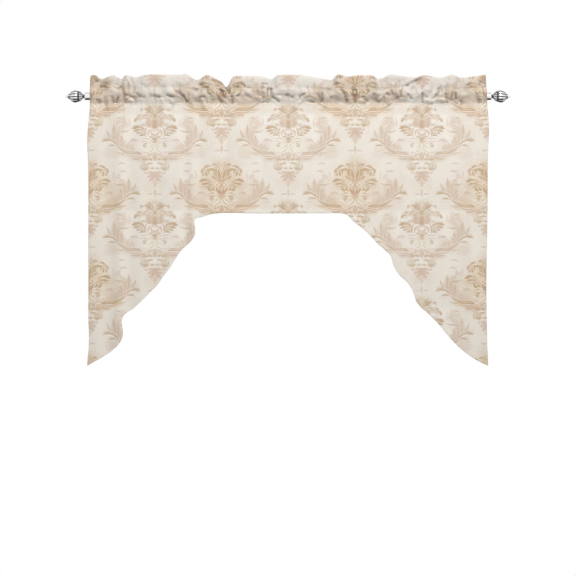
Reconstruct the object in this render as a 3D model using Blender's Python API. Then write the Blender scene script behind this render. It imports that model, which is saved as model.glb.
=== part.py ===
"""Swag and tail drape, gathered on a plain round rod with fluted knob finials.

Metres, +Z up. The rod runs along X with its axis through the origin, and the drape's front faces -Y.
The drape is one sheet: a swag with two tails, folded over at the top into a ruffled heading, and stitched
above and below the rod so that the fold makes the rod pocket.
"""

import math

import bmesh
import bpy
import numpy as np

MM = 0.001

# The drape, hanging
HALF_WIDTH = 624 * MM
SHEET = 1.5 * MM
HEM_SHEET = 2.4 * MM
HEM_WIDTH = 12 * MM
STITCH = 3 * MM

# The heading's two lines of stitching. The upper one, the seam, stands at a share of the frill's height, and
# comes down to the rod in a tight pinch. Both lie in front of the rod's axis and follow the frill's sway, and
# the seam follows the puffs too.
SEAM_SHARE = 0.415
PINCHED_SEAM = 10.4 * MM
PINCH_CURVE = 1.5
SEAM_FORWARD = 4 * MM
SEAM_FOLLOWS = 0.3
SEAM_PUFFS = 0.7
POCKET_FOOT = -24 * MM
FOOT_SINKS = 0.7
FOOT_FORWARD = 2.5 * MM
FOOT_FOLLOWS = 0.5

# The pocket between them: the height at which it stands out most, its room round the rod, where it begins to
# widen for the collars and is wide enough, how much of each puff goes to the front and the back, and how
# roundly it closes underneath and towards the seam.
POCKET_CREST = 7 * MM
POCKET_ROOM = 2.1 * MM
COLLAR_APPROACH = (35 * MM, 15 * MM)
PUFF_FRONT = 0.6
PUFF_BACK = 0.5
UNDER_ROUNDING = 1.5
LOOSE_ROUNDING = 1.15
PINCHED_ROUNDING = 0.7

# How far apart the frill's two layers stand where it is pinched and where it is loose, and how late it leans.
FRILL_PINCHED = 0.8 * MM
FRILL_LOOSE = 3.4 * MM
LEAN_CURVE = 1.5

# Below the pocket: how soon the offset of its stitching dies away and the long folds begin.
FOOT_REACH = 70 * MM
FOLD_REACH = 23 * MM

# The rod and its finials
ROD_RADIUS = 8 * MM
REST_GAP = 0.4 * MM
PART_GAP = 0.3 * MM
COLLAR_RADIUS = 11.5 * MM
COLLAR_MOUTH = 606 * MM
COLLAR_FLOOR = 630 * MM
COLLAR_END = 636.6 * MM
COLLAR_NOSE = (
    # back from the end, in from the radius
    (3.2 * MM, 0.0),
    (1.4 * MM, 1.0 * MM),
    (0.0, 4.5 * MM),
)
ROD_SIDES = 32
FLUTES = 12
FLUTE_SIDES = 4 * FLUTES
FLUTE_TURN = math.radians(7.5)

# Edges flatter than this, in degrees, are smooth.
CLOTH_SMOOTH = 50
METAL_SMOOTH = 35

# The heading, from left to right: where it stands along the rod, how high its frill reaches, how tightly it
# is pinched (1 presses both layers down onto the rod), how far the pocket puffs out in front, and how far the
# frill sways back (forward where negative). Millimetres, but for the pinch.
GATHERS = (
    # x, top, pinch, puff, sway
    (-624, 63, 0.0, 1.0, -1.0),
    (-609, 67, 0.2, 3.0, -3.0),
    (-587, 55, 1.0, 0.0, 2.5),
    (-547, 66, 0.0, 5.0, -4.5),
    (-521, 55, 0.9, 0.5, 3.0),
    (-507, 67, 0.3, 3.5, -4.0),
    (-478, 61, 0.6, 1.0, 2.5),
    (-438, 69, 0.0, 5.5, -4.5),
    (-380, 69, 0.0, 4.0, -0.5),
    (-322, 69, 0.1, 5.5, -4.0),
    (-285, 52, 1.0, 0.0, 3.5),
    (-252, 67, 0.1, 5.0, -4.5),
    (-230, 57, 0.3, 4.0, -2.0),
    (-207, 45, 0.7, 2.0, 1.5),
    (-193, 30, 1.0, 0.0, 3.0),
    (-169, 63, 0.2, 5.5, -5.0),
    (-116, 65, 0.0, 4.5, -2.0),
    (-80, 62, 0.3, 3.0, 0.5),
    (-52, 55, 0.8, 0.5, 3.5),
    (-28, 68, 0.1, 5.5, -4.5),
    (28, 68, 0.0, 5.0, -1.5),
    (94, 58, 0.4, 3.5, 1.0),
    (134, 52, 1.0, 0.0, 3.5),
    (158, 69, 0.1, 5.5, -4.5),
    (187, 62, 0.5, 2.5, 1.0),
    (219, 66, 0.0, 5.5, -3.5),
    (264, 66, 0.1, 4.5, -2.5),
    (281, 55, 0.9, 0.5, 3.0),
    (325, 68, 0.0, 5.5, -4.5),
    (394, 60, 0.7, 1.5, 2.5),
    (428, 66, 0.1, 5.0, -3.5),
    (478, 59, 0.8, 1.0, 3.0),
    (509, 68, 0.0, 5.5, -4.5),
    (545, 59, 1.0, 0.0, 3.0),
    (577, 62, 0.3, 3.0, -1.5),
    (624, 67, 0.0, 1.5, -2.5),
)

# The cut lower edge, from the left tail's tip over the swag to the right tail's tip. Millimetres.
HEM = (
    # x, z
    (-624, -842),
    (-604, -830),
    (-573, -811),
    (-547, -792),
    (-530, -775),
    (-522, -760),
    (-518, -725),
    (-515, -696),
    (-508, -681),
    (-485, -664),
    (-432, -613),
    (-405, -585),
    (-392, -565),
    (-366, -531),
    (-347, -500),
    (-336, -484),
    (-301, -449),
    (-294, -436),
    (-291, -408),
    (-289, -386),
    (-269, -377),
    (-238, -368),
    (-197, -364),
    (-88, -366),
    (160, -365),
    (181, -369),
    (209, -394),
    (231, -411),
    (253, -431),
    (281, -461),
    (306, -483),
    (322, -500),
    (329, -526),
    (350, -560),
    (375, -583),
    (392, -611),
    (403, -643),
    (437, -677),
    (463, -702),
    (519, -768),
    (541, -789),
    (569, -811),
    (597, -829),
    (624, -842),
)

# Places where the hem or a side edge swings sideways: centre, push along X and how far the push reaches.
SWINGS = (
    # x, z, push, reach
    (-518, -741, 4.0, 24),
    (-516, -700, -4.5, 24),
    (-291, -422, 2.5, 20),
    (-289, -388, -4.0, 20),
    (-624, 60, 5.5, 60),
    (-624, -30, 4.5, 50),
    (-624, -140, -3.5, 60),
    (-624, -761, 2.5, 40),
    (-624, -838, -3.5, 40),
    (624, 55, -5.5, 50),
    (624, -30, -2.0, 40),
    (624, -100, 4.5, 60),
    (624, -600, -4.0, 170),
    (624, -838, 2.0, 40),
)

# The long folds below the pocket: how wide each is, and how far it lies back (forward where negative) at the
# pocket and at the hem. Millimetres.
FOLDS = (
    # x, width, at_pocket, at_hem
    (-602, 26, -1, -4),
    (-563, 22, 1.5, 3),
    (-527, 17, -2, -5),
    (-495, 20, 2, 3),
    (-452, 28, -1.5, -3),
    (-404, 24, 1.5, 2.5),
    (-352, 30, -1.5, -3),
    (-322, 15, 1, 2.5),
    (-297, 14, -1.5, -4.5),
    (-272, 17, 1, 2.5),
    (-232, 22, -2, -2),
    (-193, 11, 3, 1),
    (-150, 27, -2, -3),
    (-79, 14, 2.5, 1.5),
    (-33, 30, -2, -3),
    (38, 26, 1.5, 2.5),
    (94, 14, 2.5, 1),
    (141, 28, -2, -3),
    (204, 24, 2, 3),
    (256, 26, -1.5, -3),
    (312, 17, 1.5, 3.5),
    (340, 16, -2, -4.5),
    (384, 18, 1.5, 3),
    (428, 26, -1.5, -3.5),
    (480, 22, 1.5, 2.5),
    (531, 26, -1.5, -3.5),
    (577, 20, 1.5, 2.5),
    (611, 22, -1, -4),
)

# Where the sheet's columns and rows lie. A column stands at each mark of the heading and the hem, unless two
# marks are too near each other. The rows lie at shares of the drop above the hem and of the pocket's height
# below and above its crest, and on a steep hem the hem's own row stops at a steepest slant.
WIDEST_COLUMN = 24 * MM
NEAREST_MARKS = 4 * MM
DROP_ROWS = (0.13, 0.27, 0.42, 0.57, 0.72, 0.86)
HEM_STEP = 1.15
STEEPEST = 3
POCKET_LOW = 0.6
POCKET_HIGH = 0.6
FRILL_ROWS = (
    # share of the height, share of the opening
    (0.35, 0.63),
    (0.7, 0.98),
    (0.93, 0.6),
)
# A facet between two corners of the pocket comes nearer the rod than the corners do, by this ratio.
CORNER_ROOM = 1.083

# The finial's outline past the collar: distance along the rod, radius and depth of the flutes. Millimetres.
FINIAL = (
    # x, radius, flute
    (636.9, 0.0, 0.0),
    (636.9, 5.4, 0.0),
    (638.4, 4.9, 0.0),
    (640.2, 4.9, 0.0),
    (641.6, 7.4, 0.4),
    (643.6, 10.0, 0.8),
    (646.8, 12.9, 1.2),
    (650.4, 15.4, 1.3),
    (653.4, 16.9, 0.6),
    (654.2, 15.6, 0.0),
    (655.8, 15.6, 0.0),
    (656.6, 16.9, 0.6),
    (659.0, 18.2, 1.5),
    (662.4, 19.1, 1.9),
    (666.0, 19.3, 2.0),
    (670.0, 18.6, 1.9),
    (674.5, 16.4, 1.6),
    (678.5, 13.0, 1.2),
    (681.5, 9.4, 0.6),
    (683.2, 7.0, 0.0),
    (683.8, 7.6, 0.0),
    (686.8, 7.6, 0.0),
    (687.4, 3.2, 0.0),
    (690.0, 3.1, 0.0),
    (692.6, 2.7, 0.0),
    (694.6, 1.2, 0.0),
    (694.9, 0.0, 0.0),
)


def smooth_through(places, table, column):
    """Values of one column of a table at the given places, on a smooth curve that never overshoots a row."""
    rows = np.array(table, float)
    x, y = rows[:, 0] * MM, rows[:, column]
    step, slope = np.diff(x), np.diff(y) / np.diff(x)
    rising = slope[:-1] * slope[1:] > 0
    before, after = 2 * step[1:] + step[:-1], step[1:] + 2 * step[:-1]
    safe = [np.where(rising, slope[k : len(slope) - 1 + k], 1.0) for k in (0, 1)]
    inner = np.where(rising, (before + after) / (before / safe[0] + after / safe[1]), 0.0)
    tangent = np.concatenate([[slope[0]], inner, [slope[-1]]])
    k = np.clip(np.searchsorted(x, places) - 1, 0, len(step) - 1)
    t = (places - x[k]) / step[k]
    value = (1 + 2 * t) * (1 - t) ** 2 * y[k] + t * (1 - t) ** 2 * step[k] * tangent[k]
    return value + t * t * (3 - 2 * t) * y[k + 1] + t * t * (t - 1) * step[k] * tangent[k + 1]


def column_places():
    """Where the sheet's columns stand: at the marks of the heading and the hem, and between them."""
    marks = sorted({row[0] * MM for row in GATHERS} | {row[0] * MM for row in HEM})
    kept = [-HALF_WIDTH]
    for mark in marks:
        if mark - kept[-1] >= NEAREST_MARKS and HALF_WIDTH - mark >= NEAREST_MARKS:
            kept.append(mark)
    kept.append(HALF_WIDTH)
    places = []
    for left, right in zip(kept, kept[1:]):
        parts = math.ceil((right - left) / WIDEST_COLUMN)
        places.extend(left + (right - left) * k / parts for k in range(parts))
    return np.array([*places, kept[-1]])


def swing(x, z):
    """How far the sheet is pushed along X at this place."""
    push = np.zeros_like(z)
    for at_x, at_z, amount, reach in SWINGS:
        away = ((x - at_x * MM) ** 2 + (z - at_z * MM) ** 2) / (reach * MM) ** 2
        push += amount * MM * np.exp(-away)
    return push


def fold_depth(x, rise):
    """How far back the hanging cloth lies, from its hem (rise 0) to the pocket (rise 1)."""
    depth = np.zeros(np.broadcast(x, rise).shape)
    for at, width, at_pocket, at_hem in FOLDS:
        shape = np.exp(-(((x - at * MM) / (width * MM)) ** 2))
        depth += shape * (at_hem + (at_pocket - at_hem) * rise) * MM
    return depth


def outward(inner, side):
    """The outer face of a layer, one sheet outside its inner face, on the given side of the rod."""
    along = np.gradient(inner, axis=0)
    length = np.linalg.norm(along, axis=2, keepdims=True)
    normal = np.stack([-along[..., 1], along[..., 0]], axis=2) / length
    return inner + side * SHEET * normal


def core_radius(x):
    """The radius of what the pocket lies round: the rod, or a collar near either end."""
    ramp = (COLLAR_MOUTH - COLLAR_APPROACH[0], COLLAR_MOUTH - COLLAR_APPROACH[1])
    return np.interp(np.abs(x), ramp, (ROD_RADIUS, COLLAR_RADIUS))


def clear_of_core(rows, core):
    """The same rows of (y, z), with the corners that lie too near the rod or a collar pushed out."""
    least = (core + REST_GAP) * CORNER_ROOM
    reach = np.linalg.norm(rows, axis=2)
    return rows * np.maximum(least / reach, 1)[..., None]


def heading(x):
    """The heading at each column: how high its lines stand, how far back they lie, its pinch and its puff."""
    top, pinch, puff, sway = (smooth_through(x, GATHERS, column) for column in range(1, 5))
    top, puff, sway = top * MM, np.maximum(puff, 0) * MM, sway * MM
    pinch = np.clip(pinch, 0, 1)
    seam = SEAM_SHARE * top
    seam_foot = seam - STITCH / 2
    seam_foot += (PINCHED_SEAM - seam_foot) * pinch**PINCH_CURVE
    return {
        "top": top,
        "core": core_radius(x),
        "pinch": pinch,
        "puff": puff,
        "sway": sway,
        "seam_head": seam + STITCH / 2,
        "seam_foot": np.maximum(seam_foot, PINCHED_SEAM),
        "seam_y": SEAM_FOLLOWS * sway - SEAM_FORWARD - SEAM_PUFFS * puff,
        "foot": POCKET_FOOT + FOOT_SINKS * sway,
        "foot_y": FOOT_FOLLOWS * sway - FOOT_FORWARD,
    }


def pocket_layer(head, side):
    """The inner face of one pocket layer, upwards from the lower stitching: a row each of (y, z)."""
    bulge = head["core"] + POCKET_ROOM + head["puff"] * (PUFF_FRONT if side < 0 else PUFF_BACK)
    rounding = LOOSE_ROUNDING + (PINCHED_ROUNDING - LOOSE_ROUNDING) * head["pinch"]
    crest = POCKET_CREST * (1 - head["pinch"])
    rows = []
    for share in (0, POCKET_LOW):
        out = math.sin(share * math.pi / 2) ** UNDER_ROUNDING
        y = side * bulge * out + head["foot_y"] * (1 - out)
        rows.append((y, head["foot"] + (crest - head["foot"]) * share))
    for share in (0, POCKET_HIGH, 1):
        out = (1 - share**2) ** rounding
        y = side * bulge * out + head["seam_y"] * (1 - out)
        rows.append((y, crest + (head["seam_foot"] - crest) * share))
    return clear_of_core(np.array([np.stack(row, axis=1) for row in rows]), head["core"])


def frill_layer(head, side):
    """The inner face of one frill layer, upwards from the seam to the fold at the top."""
    height = head["top"] - SHEET - head["seam_head"]
    open_by = FRILL_LOOSE + (FRILL_PINCHED - FRILL_LOOSE) * head["pinch"]
    rows = [(head["seam_y"], head["seam_head"])]
    for share, opening in FRILL_ROWS:
        lean = head["seam_y"] + (head["sway"] - head["seam_y"]) * share**LEAN_CURVE
        rows.append((lean + side * open_by * opening, head["seam_head"] + height * share))
    rows.append((head["sway"], head["top"] - SHEET))
    return np.array([np.stack(row, axis=1) for row in rows])


def drop_rows(x, head):
    """The hanging cloth from the hem up to the lower stitching: its back and front faces, a row each."""
    hem = smooth_through(x, HEM, 1) * MM
    drop = head["foot"] - hem
    slant = np.minimum(np.sqrt(1 + np.gradient(hem, x) ** 2), STEEPEST)
    hem_share = HEM_WIDTH * slant / drop
    rises = [np.zeros_like(x), hem_share, HEM_STEP * hem_share]
    rises += [share + (1 - share) * HEM_STEP * hem_share for share in DROP_ROWS]
    back, front = [], []
    for number, rise in enumerate(rises):
        z = hem + (drop - STITCH) * rise
        below = head["foot"] - z
        y = head["foot_y"] * np.exp(-below / FOOT_REACH)
        y += fold_depth(x, rise) * (1 - np.exp(-below / FOLD_REACH))
        extra = (HEM_SHEET - SHEET) / 2 if number < 2 else 0
        back.append(np.stack([y + extra, z], axis=1))
        front.append(np.stack([y - SHEET - extra, z], axis=1))
    return np.array(back), np.array(front)


def drape_faces(x):
    """The drape's vertices and faces: one strip of cells from the hem up the front, over the top and down
    the back to the pocket's lower stitching, where cells that meet at a seam share its middle line."""
    head = heading(x)
    hung_back, hung_front = drop_rows(x, head)
    foot = np.stack([head["foot_y"], head["foot"] - STITCH], axis=1)
    apex = np.stack([head["sway"], head["top"]], axis=1)
    layers = {}
    for side in (-1, 1):
        pocket, frill = pocket_layer(head, side), frill_layer(head, side)
        outer_pocket, outer_frill = outward(pocket, -side), outward(frill, -side)
        flat = np.array([side * SHEET, 0.0])
        outer_pocket[0], outer_pocket[-1] = pocket[0] + flat, pocket[-1] + flat
        outer_frill[0] = frill[0] + flat
        inner = [foot[None], pocket, frill[:-1]]
        outer = [(foot + flat)[None], outer_pocket, outer_frill[:-1]]
        layers[side] = (np.concatenate(inner), np.concatenate(outer))
    tip = frill_layer(head, 1)[-1]
    inner = np.concatenate([hung_back, layers[-1][0], tip[None], layers[1][0][::-1]])
    outer = np.concatenate([hung_front, layers[-1][1], apex[None], layers[1][1][::-1]])

    count, columns = len(inner), len(x)
    front_foot = len(hung_back)
    stitched = {front_foot, front_foot + 1, front_foot + 5, front_foot + 6}
    vertices, number = [], {}
    for kind, rows in (("outer", outer), ("inner", inner)):
        for row in range(count):
            twin = count - 1 - (row - front_foot)
            if kind == "inner" and twin in stitched and row not in stitched:
                for column in range(columns):
                    number[kind, row, column] = number[kind, twin, column]
                continue
            pushed = x + swing(x, rows[row][:, 1])
            for column in range(columns):
                number[kind, row, column] = len(vertices)
                vertices.append((pushed[column], *rows[row][column]))

    faces = []

    def face(*corners):
        faces.append([number[corner] for corner in corners])

    for near in range(columns - 1):
        far = near + 1
        for row in range(count - 1):
            up = row + 1
            face(("outer", row, near), ("outer", row, far), ("outer", up, far), ("outer", up, near))
            twins = {count - 1 - (k - front_foot) for k in (row, up)}
            if not ({row, up} <= stitched or twins <= stitched):
                face(("inner", row, near), ("inner", up, near), ("inner", up, far), ("inner", row, far))
        for row in (0, count - 1):
            face(("outer", row, near), ("inner", row, near), ("inner", row, far), ("outer", row, far))
    for end in (0, columns - 1):
        for row in range(count - 1):
            up = row + 1
            face(("outer", row, end), ("outer", up, end), ("inner", up, end), ("inner", row, end))
    return vertices, faces


def closed_object(name, vertices, faces, material, smooth_angle):
    """A mesh object whose faces all point outwards."""
    mesh = bpy.data.meshes.new(name)
    shape = bmesh.new()
    made = [shape.verts.new(vertex) for vertex in vertices]
    for corners in faces:
        shape.faces.new([made[corner] for corner in corners])
    bmesh.ops.recalc_face_normals(shape, faces=shape.faces)
    shape.to_mesh(mesh)
    shape.free()
    mesh.shade_smooth()
    mesh.set_sharp_from_angle(angle=math.radians(smooth_angle))
    mesh.materials.append(material)
    bpy.context.scene.collection.objects.link(bpy.data.objects.new(name, mesh))


def turned(name, outline, sides, side, material):
    """A solid turned about the rod's axis from rows of (x, radius, flute depth); side -1 mirrors it."""
    vertices, rings = [], []
    for x, radius, flute in outline:
        if radius == 0:
            rings.append([len(vertices)] * sides)
            vertices.append((side * x, 0.0, 0.0))
            continue
        rings.append(list(range(len(vertices), len(vertices) + sides)))
        for k in range(sides):
            angle = 2 * math.pi * k / sides
            reach = radius - flute * (1 - abs(math.cos((angle + FLUTE_TURN) * FLUTES / 2)))
            vertices.append((side * x, reach * math.cos(angle), reach * math.sin(angle)))
    faces = []
    for near, far in zip(rings, rings[1:]):
        for k in range(sides):
            corners = [near[k], near[(k + 1) % sides], far[(k + 1) % sides], far[k]]
            faces.append([corner for n, corner in enumerate(corners) if corner not in corners[:n]])
    closed_object(name, vertices, faces, material, METAL_SMOOTH)


def principled(name, colour, roughness, metallic):
    material = bpy.data.materials.new(name)
    material.use_nodes = True
    shader = material.node_tree.nodes["Principled BSDF"]
    shader.inputs["Base Color"].default_value = (*colour, 1.0)
    shader.inputs["Roughness"].default_value = roughness
    shader.inputs["Metallic"].default_value = metallic
    return material


def make_drape():
    cloth = principled("printed_cloth", (0.84, 0.75, 0.64), 0.85, 0.0)
    vertices, faces = drape_faces(column_places())
    closed_object("drape", vertices, faces, cloth, CLOTH_SMOOTH)


def make_rod():
    end = COLLAR_FLOOR - PART_GAP
    bare = [(-end, 0.0, 0.0), (-end, ROD_RADIUS, 0.0), (end, ROD_RADIUS, 0.0), (end, 0.0, 0.0)]
    turned("rod", bare, ROD_SIDES, 1, principled("rod_steel", (0.62, 0.61, 0.60), 0.30, 1.0))


def make_collars():
    bore = ROD_RADIUS + PART_GAP
    outline = [
        (COLLAR_FLOOR, 0.0, 0.0),
        (COLLAR_FLOOR, bore, 0.0),
        (COLLAR_MOUTH, bore, 0.0),
        (COLLAR_MOUTH, COLLAR_RADIUS, 0.0),
        *((COLLAR_END - back, COLLAR_RADIUS - inward, 0.0) for back, inward in COLLAR_NOSE),
        (COLLAR_END, 0.0, 0.0),
    ]
    chrome = principled("collar_chrome", (0.74, 0.74, 0.75), 0.12, 1.0)
    for name, side in (("collar_left", -1), ("collar_right", 1)):
        turned(name, outline, ROD_SIDES, side, chrome)


def make_finials():
    outline = [(x * MM, radius * MM, flute * MM) for x, radius, flute in FINIAL]
    chrome = principled("finial_chrome", (0.74, 0.74, 0.75), 0.14, 1.0)
    for name, side in (("finial_left", -1), ("finial_right", 1)):
        turned(name, outline, FLUTE_SIDES, side, chrome)


for old in list(bpy.data.objects):
    bpy.data.objects.remove(old, do_unlink=True)
make_drape()
make_rod()
make_collars()
make_finials()
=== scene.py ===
"""A swag and tail drape as it looks: one printed sheet gathered on a round rod with fluted knob finials.

Metres, in the frame's own axes: the rod runs along X with its axis through the origin, and the front
faces -Y.
"""

import math

import bmesh
import bpy
import numpy as np
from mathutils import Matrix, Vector


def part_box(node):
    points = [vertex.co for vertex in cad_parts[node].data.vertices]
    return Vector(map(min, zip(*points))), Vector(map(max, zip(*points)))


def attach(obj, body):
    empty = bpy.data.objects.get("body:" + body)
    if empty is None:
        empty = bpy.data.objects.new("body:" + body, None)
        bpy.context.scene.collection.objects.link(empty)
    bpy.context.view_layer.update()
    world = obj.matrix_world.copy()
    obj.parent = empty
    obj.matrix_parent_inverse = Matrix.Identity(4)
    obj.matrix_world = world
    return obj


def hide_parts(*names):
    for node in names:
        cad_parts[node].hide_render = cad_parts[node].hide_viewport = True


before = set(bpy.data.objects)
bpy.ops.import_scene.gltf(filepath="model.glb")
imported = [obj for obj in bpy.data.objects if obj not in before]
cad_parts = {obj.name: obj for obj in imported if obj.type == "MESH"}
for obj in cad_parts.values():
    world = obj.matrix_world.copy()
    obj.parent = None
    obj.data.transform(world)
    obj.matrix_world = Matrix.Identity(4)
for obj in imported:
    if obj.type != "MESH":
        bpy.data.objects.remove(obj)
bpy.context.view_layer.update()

MM = 0.001
ROD_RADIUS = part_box("rod")[1].z
COLLAR_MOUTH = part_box("collar_right")[0].x
COLLAR_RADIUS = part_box("collar_right")[1].z

# The sheet: how thick it is, half its width as it hangs, the height of the flat bands where its two layers
# are stitched together, the gap it keeps from the rod, and how much wider it is laid flat than hung.
CLOTH = 0.9 * MM
HALF_WIDTH = 624 * MM
STITCHED_BAND = 3 * MM
REST_GAP = 0.4 * MM
FULLNESS = 1.058

# Its rolled hem, along every cut edge: how thick and how wide it is, over what width it eases into the
# cloth, its share of that thickness at the very edge, and how soon it rounds up from there.
HEM_CLOTH = 2.2 * MM
HEM_WIDTH = 13 * MM
HEM_EASE = 2 * MM
EDGE_SHARE = 0.3
EDGE_ROUND = 1.5 * MM

# Its stitching, in millimetres: how far in from the cut edge the hem's line lies, the step from one stitch
# to the next and the gap in it, where along the cloth they start, and half the thread's width. Then the
# thread's shade.
HEM_STITCHING = 10.6
STITCH_STEP = 3.4
STITCH_GAP = 0.9
STITCH_START = 0.8
HALF_THREAD = 0.45
THREAD_SHADE = 0.16

# The heading's two lines of stitching. The upper one, the seam, stands at a share of the frill's height,
# and comes down to the rod in a tight pinch, slowly at first (the curve). Both lie in front of the rod's
# axis, and follow the frill's sway, and the seam follows the puffs too.
SEAM_SHARE = 0.415
PINCHED_SEAM = 10.4 * MM
PINCH_CURVE = 1.5
SEAM_FORWARD = 4 * MM
SEAM_FOLLOWS = 0.3
SEAM_PUFFS = 0.7
POCKET_FOOT = -24 * MM
FOOT_SINKS = 0.7
FOOT_FORWARD = 2.5 * MM
FOOT_FOLLOWS = 0.5

# The pocket between them: the height at which it stands out most, its room round the rod, where it begins
# to widen for the collars and is wide enough, how much of each puff goes to the front and the back, and how
# roundly it closes underneath and towards the seam.
POCKET_CREST = 7 * MM
POCKET_ROOM = 2.1 * MM
COLLAR_APPROACH = (35 * MM, 15 * MM)
PUFF_FRONT = 0.6
PUFF_BACK = 0.5
UNDER_ROUNDING = 1.5
LOOSE_ROUNDING = 1.15
PINCHED_ROUNDING = 0.7

# How far apart the frill's two layers stand where it is pinched and where it is loose, how late it leans,
# and the height from which they close again.
FRILL_PINCHED = 0.8 * MM
FRILL_LOOSE = 3.4 * MM
LEAN_CURVE = 1.5
FRILL_CLOSES = 0.8

# Below the pocket: how soon the offset of its stitching dies away and the long folds begin.
FOOT_REACH = 70 * MM
FOLD_REACH = 23 * MM

# The small uneven gathers beside each line of stitching: how far they reach from it, and how deep they are
# at it. Those of the pocket's back are the front's, moved along the rod.
FOOT_PUCKERS = (14 * MM, 1.0 * MM)
POCKET_PUCKERS = (12 * MM, 1.0 * MM)
SEAM_PUCKERS = (10 * MM, 1.2 * MM)
FRILL_PUCKERS = (16 * MM, 1.2 * MM)
BACK_SHIFT = 40 * MM
# The waves that they are made of, in millimetres: their lengths, the length that counts fully, how much
# more a longer one counts, and the height of their sum that makes the full depth.
PUCKER_LENGTHS = (8.5, 11.0, 14.5, 19.0, 27.0)
FULL_PUCKER = 19.0
PUCKER_GROWTH = 0.4
PUCKER_SUM = 3.0
PUCKER_SEED = 11

# How the cloth's colour changes under the painted shade over the heading, under the painted shade in the
# depth of a crease, where the print leans to olive or to pink, and under the warm glaze. Then the plain
# colour of its reverse, and how much that veils the print.
HEADING_SHADE_CAST = (0.765, 0.768, 0.783)
CREASE_SHADE_CAST = (0.5, 0.488, 0.485)
OLIVE_CAST = (0.97, 1.0, 0.93)
PINK_CAST = (1.0, 0.955, 0.965)
WARM_CAST = (1.0, 0.955, 0.875)
REVERSE = (232, 226, 217)
REVERSE_VEIL = 0.55
# The depth at which a crease's painted shade is darkest, how late it darkens, the height over which the
# heading's painted shade sets in above the pocket's foot, and how much of that painted shade is left where
# the heading isn't pinched.
CREASE_DEPTH = 5 * MM
CREASE_SHADE_CURVE = 1.5
HEADING_SHADE_FADE = 28 * MM
LOOSE_SHADE = 0.7
# Soft unevenness of the cloth, each as the lumps in a metre and their detail: where the print lies, how
# much ink it takes in patches and in mottles, how its hue leans, and the slub of its weave.
DRIFT_LUMPS = (45, 2)
PATCH_LUMPS = (16, 3)
MOTTLE_LUMPS = (160, 3)
HUE_LUMPS = (22, 2)
SLUB_LUMPS = (900, 2)
# How far each of them goes: the drift in millimetres, the ink and the hue in tones, and the slub's strength
# and depth.
PRINT_DRIFT = 3.0
UNEVEN_INK = 0.5
UNEVEN_HUE = 0.8
SLUB_STRENGTH = 0.12
SLUB_DEPTH = 0.6 * MM

# The plating: how rough it is where it is polished, and how much rougher where it is painted dark, with
# antiquing in its grooves and with painted shade at its neck.
POLISH = 0.1
DULLING = 0.3

# The light from all round, and the shades of the room that the metal mirrors: how far each lies below the
# level in front, the span over which it sets in (the cosine of the angle away from it), and how much light
# is left.
FILL_LIGHT = 0.335
ROOM_SHADES = (
    # below, soft_from, soft_to, left
    (94, 0.58, 0.9, 0.06),
    (180, 0.1, 0.8, 0.2),
)
# The soft lights: where each stands, what it is aimed at, its size and power, and whether the metal mirrors
# it.
SOFTBOXES = (
    # name, place, aim, size, power, mirrored
    ("key", (0.35, -2.4, 2.45), (0, 0, -0.25), (1.0, 0.8), 119, True),
    ("back", (-0.9, 2.6, 1.9), (0, 0, -0.35), (1.4, 1.0), 70, False),
)

# How finely the sheet is made. Its columns stand closer where the hem is steep. The hem has a row at each of
# these millimetres from the edge, and the rows lie closer again near the pocket. The frill's rows grow closer
# towards its top: the first step is so many times the mean one.
COLUMN_STEP = 3.05 * MM
STEEPNESS_COUNTS = 0.3
HEM_ROWS = (0, 1.2, 5.5, 10.4, 12.6, 15.5)
DROP_ROWS = 27
NEAR_POCKET = 60 * MM
NEAR_ROWS = 13
POCKET_ROWS = 10
FRILL_ROWS = 15
FRILL_FIRST_STEP = 1.25
# How finely the hem's line and the flat area are measured.
LINE_SAMPLES = 5001
AREA_SAMPLES = 2001
# A point at the rod's axis counts as lying this far from it, so that it has a way out of the rod.
NEAREST = 0.1 * MM

# The heading, from left to right: where it stands along the rod, how high its frill reaches, how tightly it
# is pinched (1 presses both layers down onto the rod), how far the pocket puffs out in front, and how far
# the frill sways back (forward where negative). Millimetres, but for the pinch.
GATHERS = (
    # x, top, pinch, puff, sway
    (-624, 63, 0.0, 1.0, -1.0),
    (-609, 67, 0.2, 3.0, -3.0),
    (-587, 55, 1.0, 0.0, 2.5),
    (-547, 66, 0.0, 5.0, -4.5),
    (-521, 55, 0.9, 0.5, 3.0),
    (-507, 67, 0.3, 3.5, -4.0),
    (-478, 61, 0.6, 1.0, 2.5),
    (-438, 69, 0.0, 5.5, -4.5),
    (-380, 69, 0.0, 4.0, -0.5),
    (-322, 69, 0.1, 5.5, -4.0),
    (-285, 52, 1.0, 0.0, 3.5),
    (-252, 67, 0.1, 5.0, -4.5),
    (-230, 57, 0.3, 4.0, -2.0),
    (-207, 45, 0.7, 2.0, 1.5),
    (-193, 30, 1.0, 0.0, 3.0),
    (-169, 63, 0.2, 5.5, -5.0),
    (-116, 65, 0.0, 4.5, -2.0),
    (-80, 62, 0.3, 3.0, 0.5),
    (-52, 55, 0.8, 0.5, 3.5),
    (-28, 68, 0.1, 5.5, -4.5),
    (28, 68, 0.0, 5.0, -1.5),
    (94, 58, 0.4, 3.5, 1.0),
    (134, 52, 1.0, 0.0, 3.5),
    (158, 69, 0.1, 5.5, -4.5),
    (187, 62, 0.5, 2.5, 1.0),
    (219, 66, 0.0, 5.5, -3.5),
    (264, 66, 0.1, 4.5, -2.5),
    (281, 55, 0.9, 0.5, 3.0),
    (325, 68, 0.0, 5.5, -4.5),
    (394, 60, 0.7, 1.5, 2.5),
    (428, 66, 0.1, 5.0, -3.5),
    (478, 59, 0.8, 1.0, 3.0),
    (509, 68, 0.0, 5.5, -4.5),
    (545, 59, 1.0, 0.0, 3.0),
    (577, 62, 0.3, 3.0, -1.5),
    (624, 67, 0.0, 1.5, -2.5),
)

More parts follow.
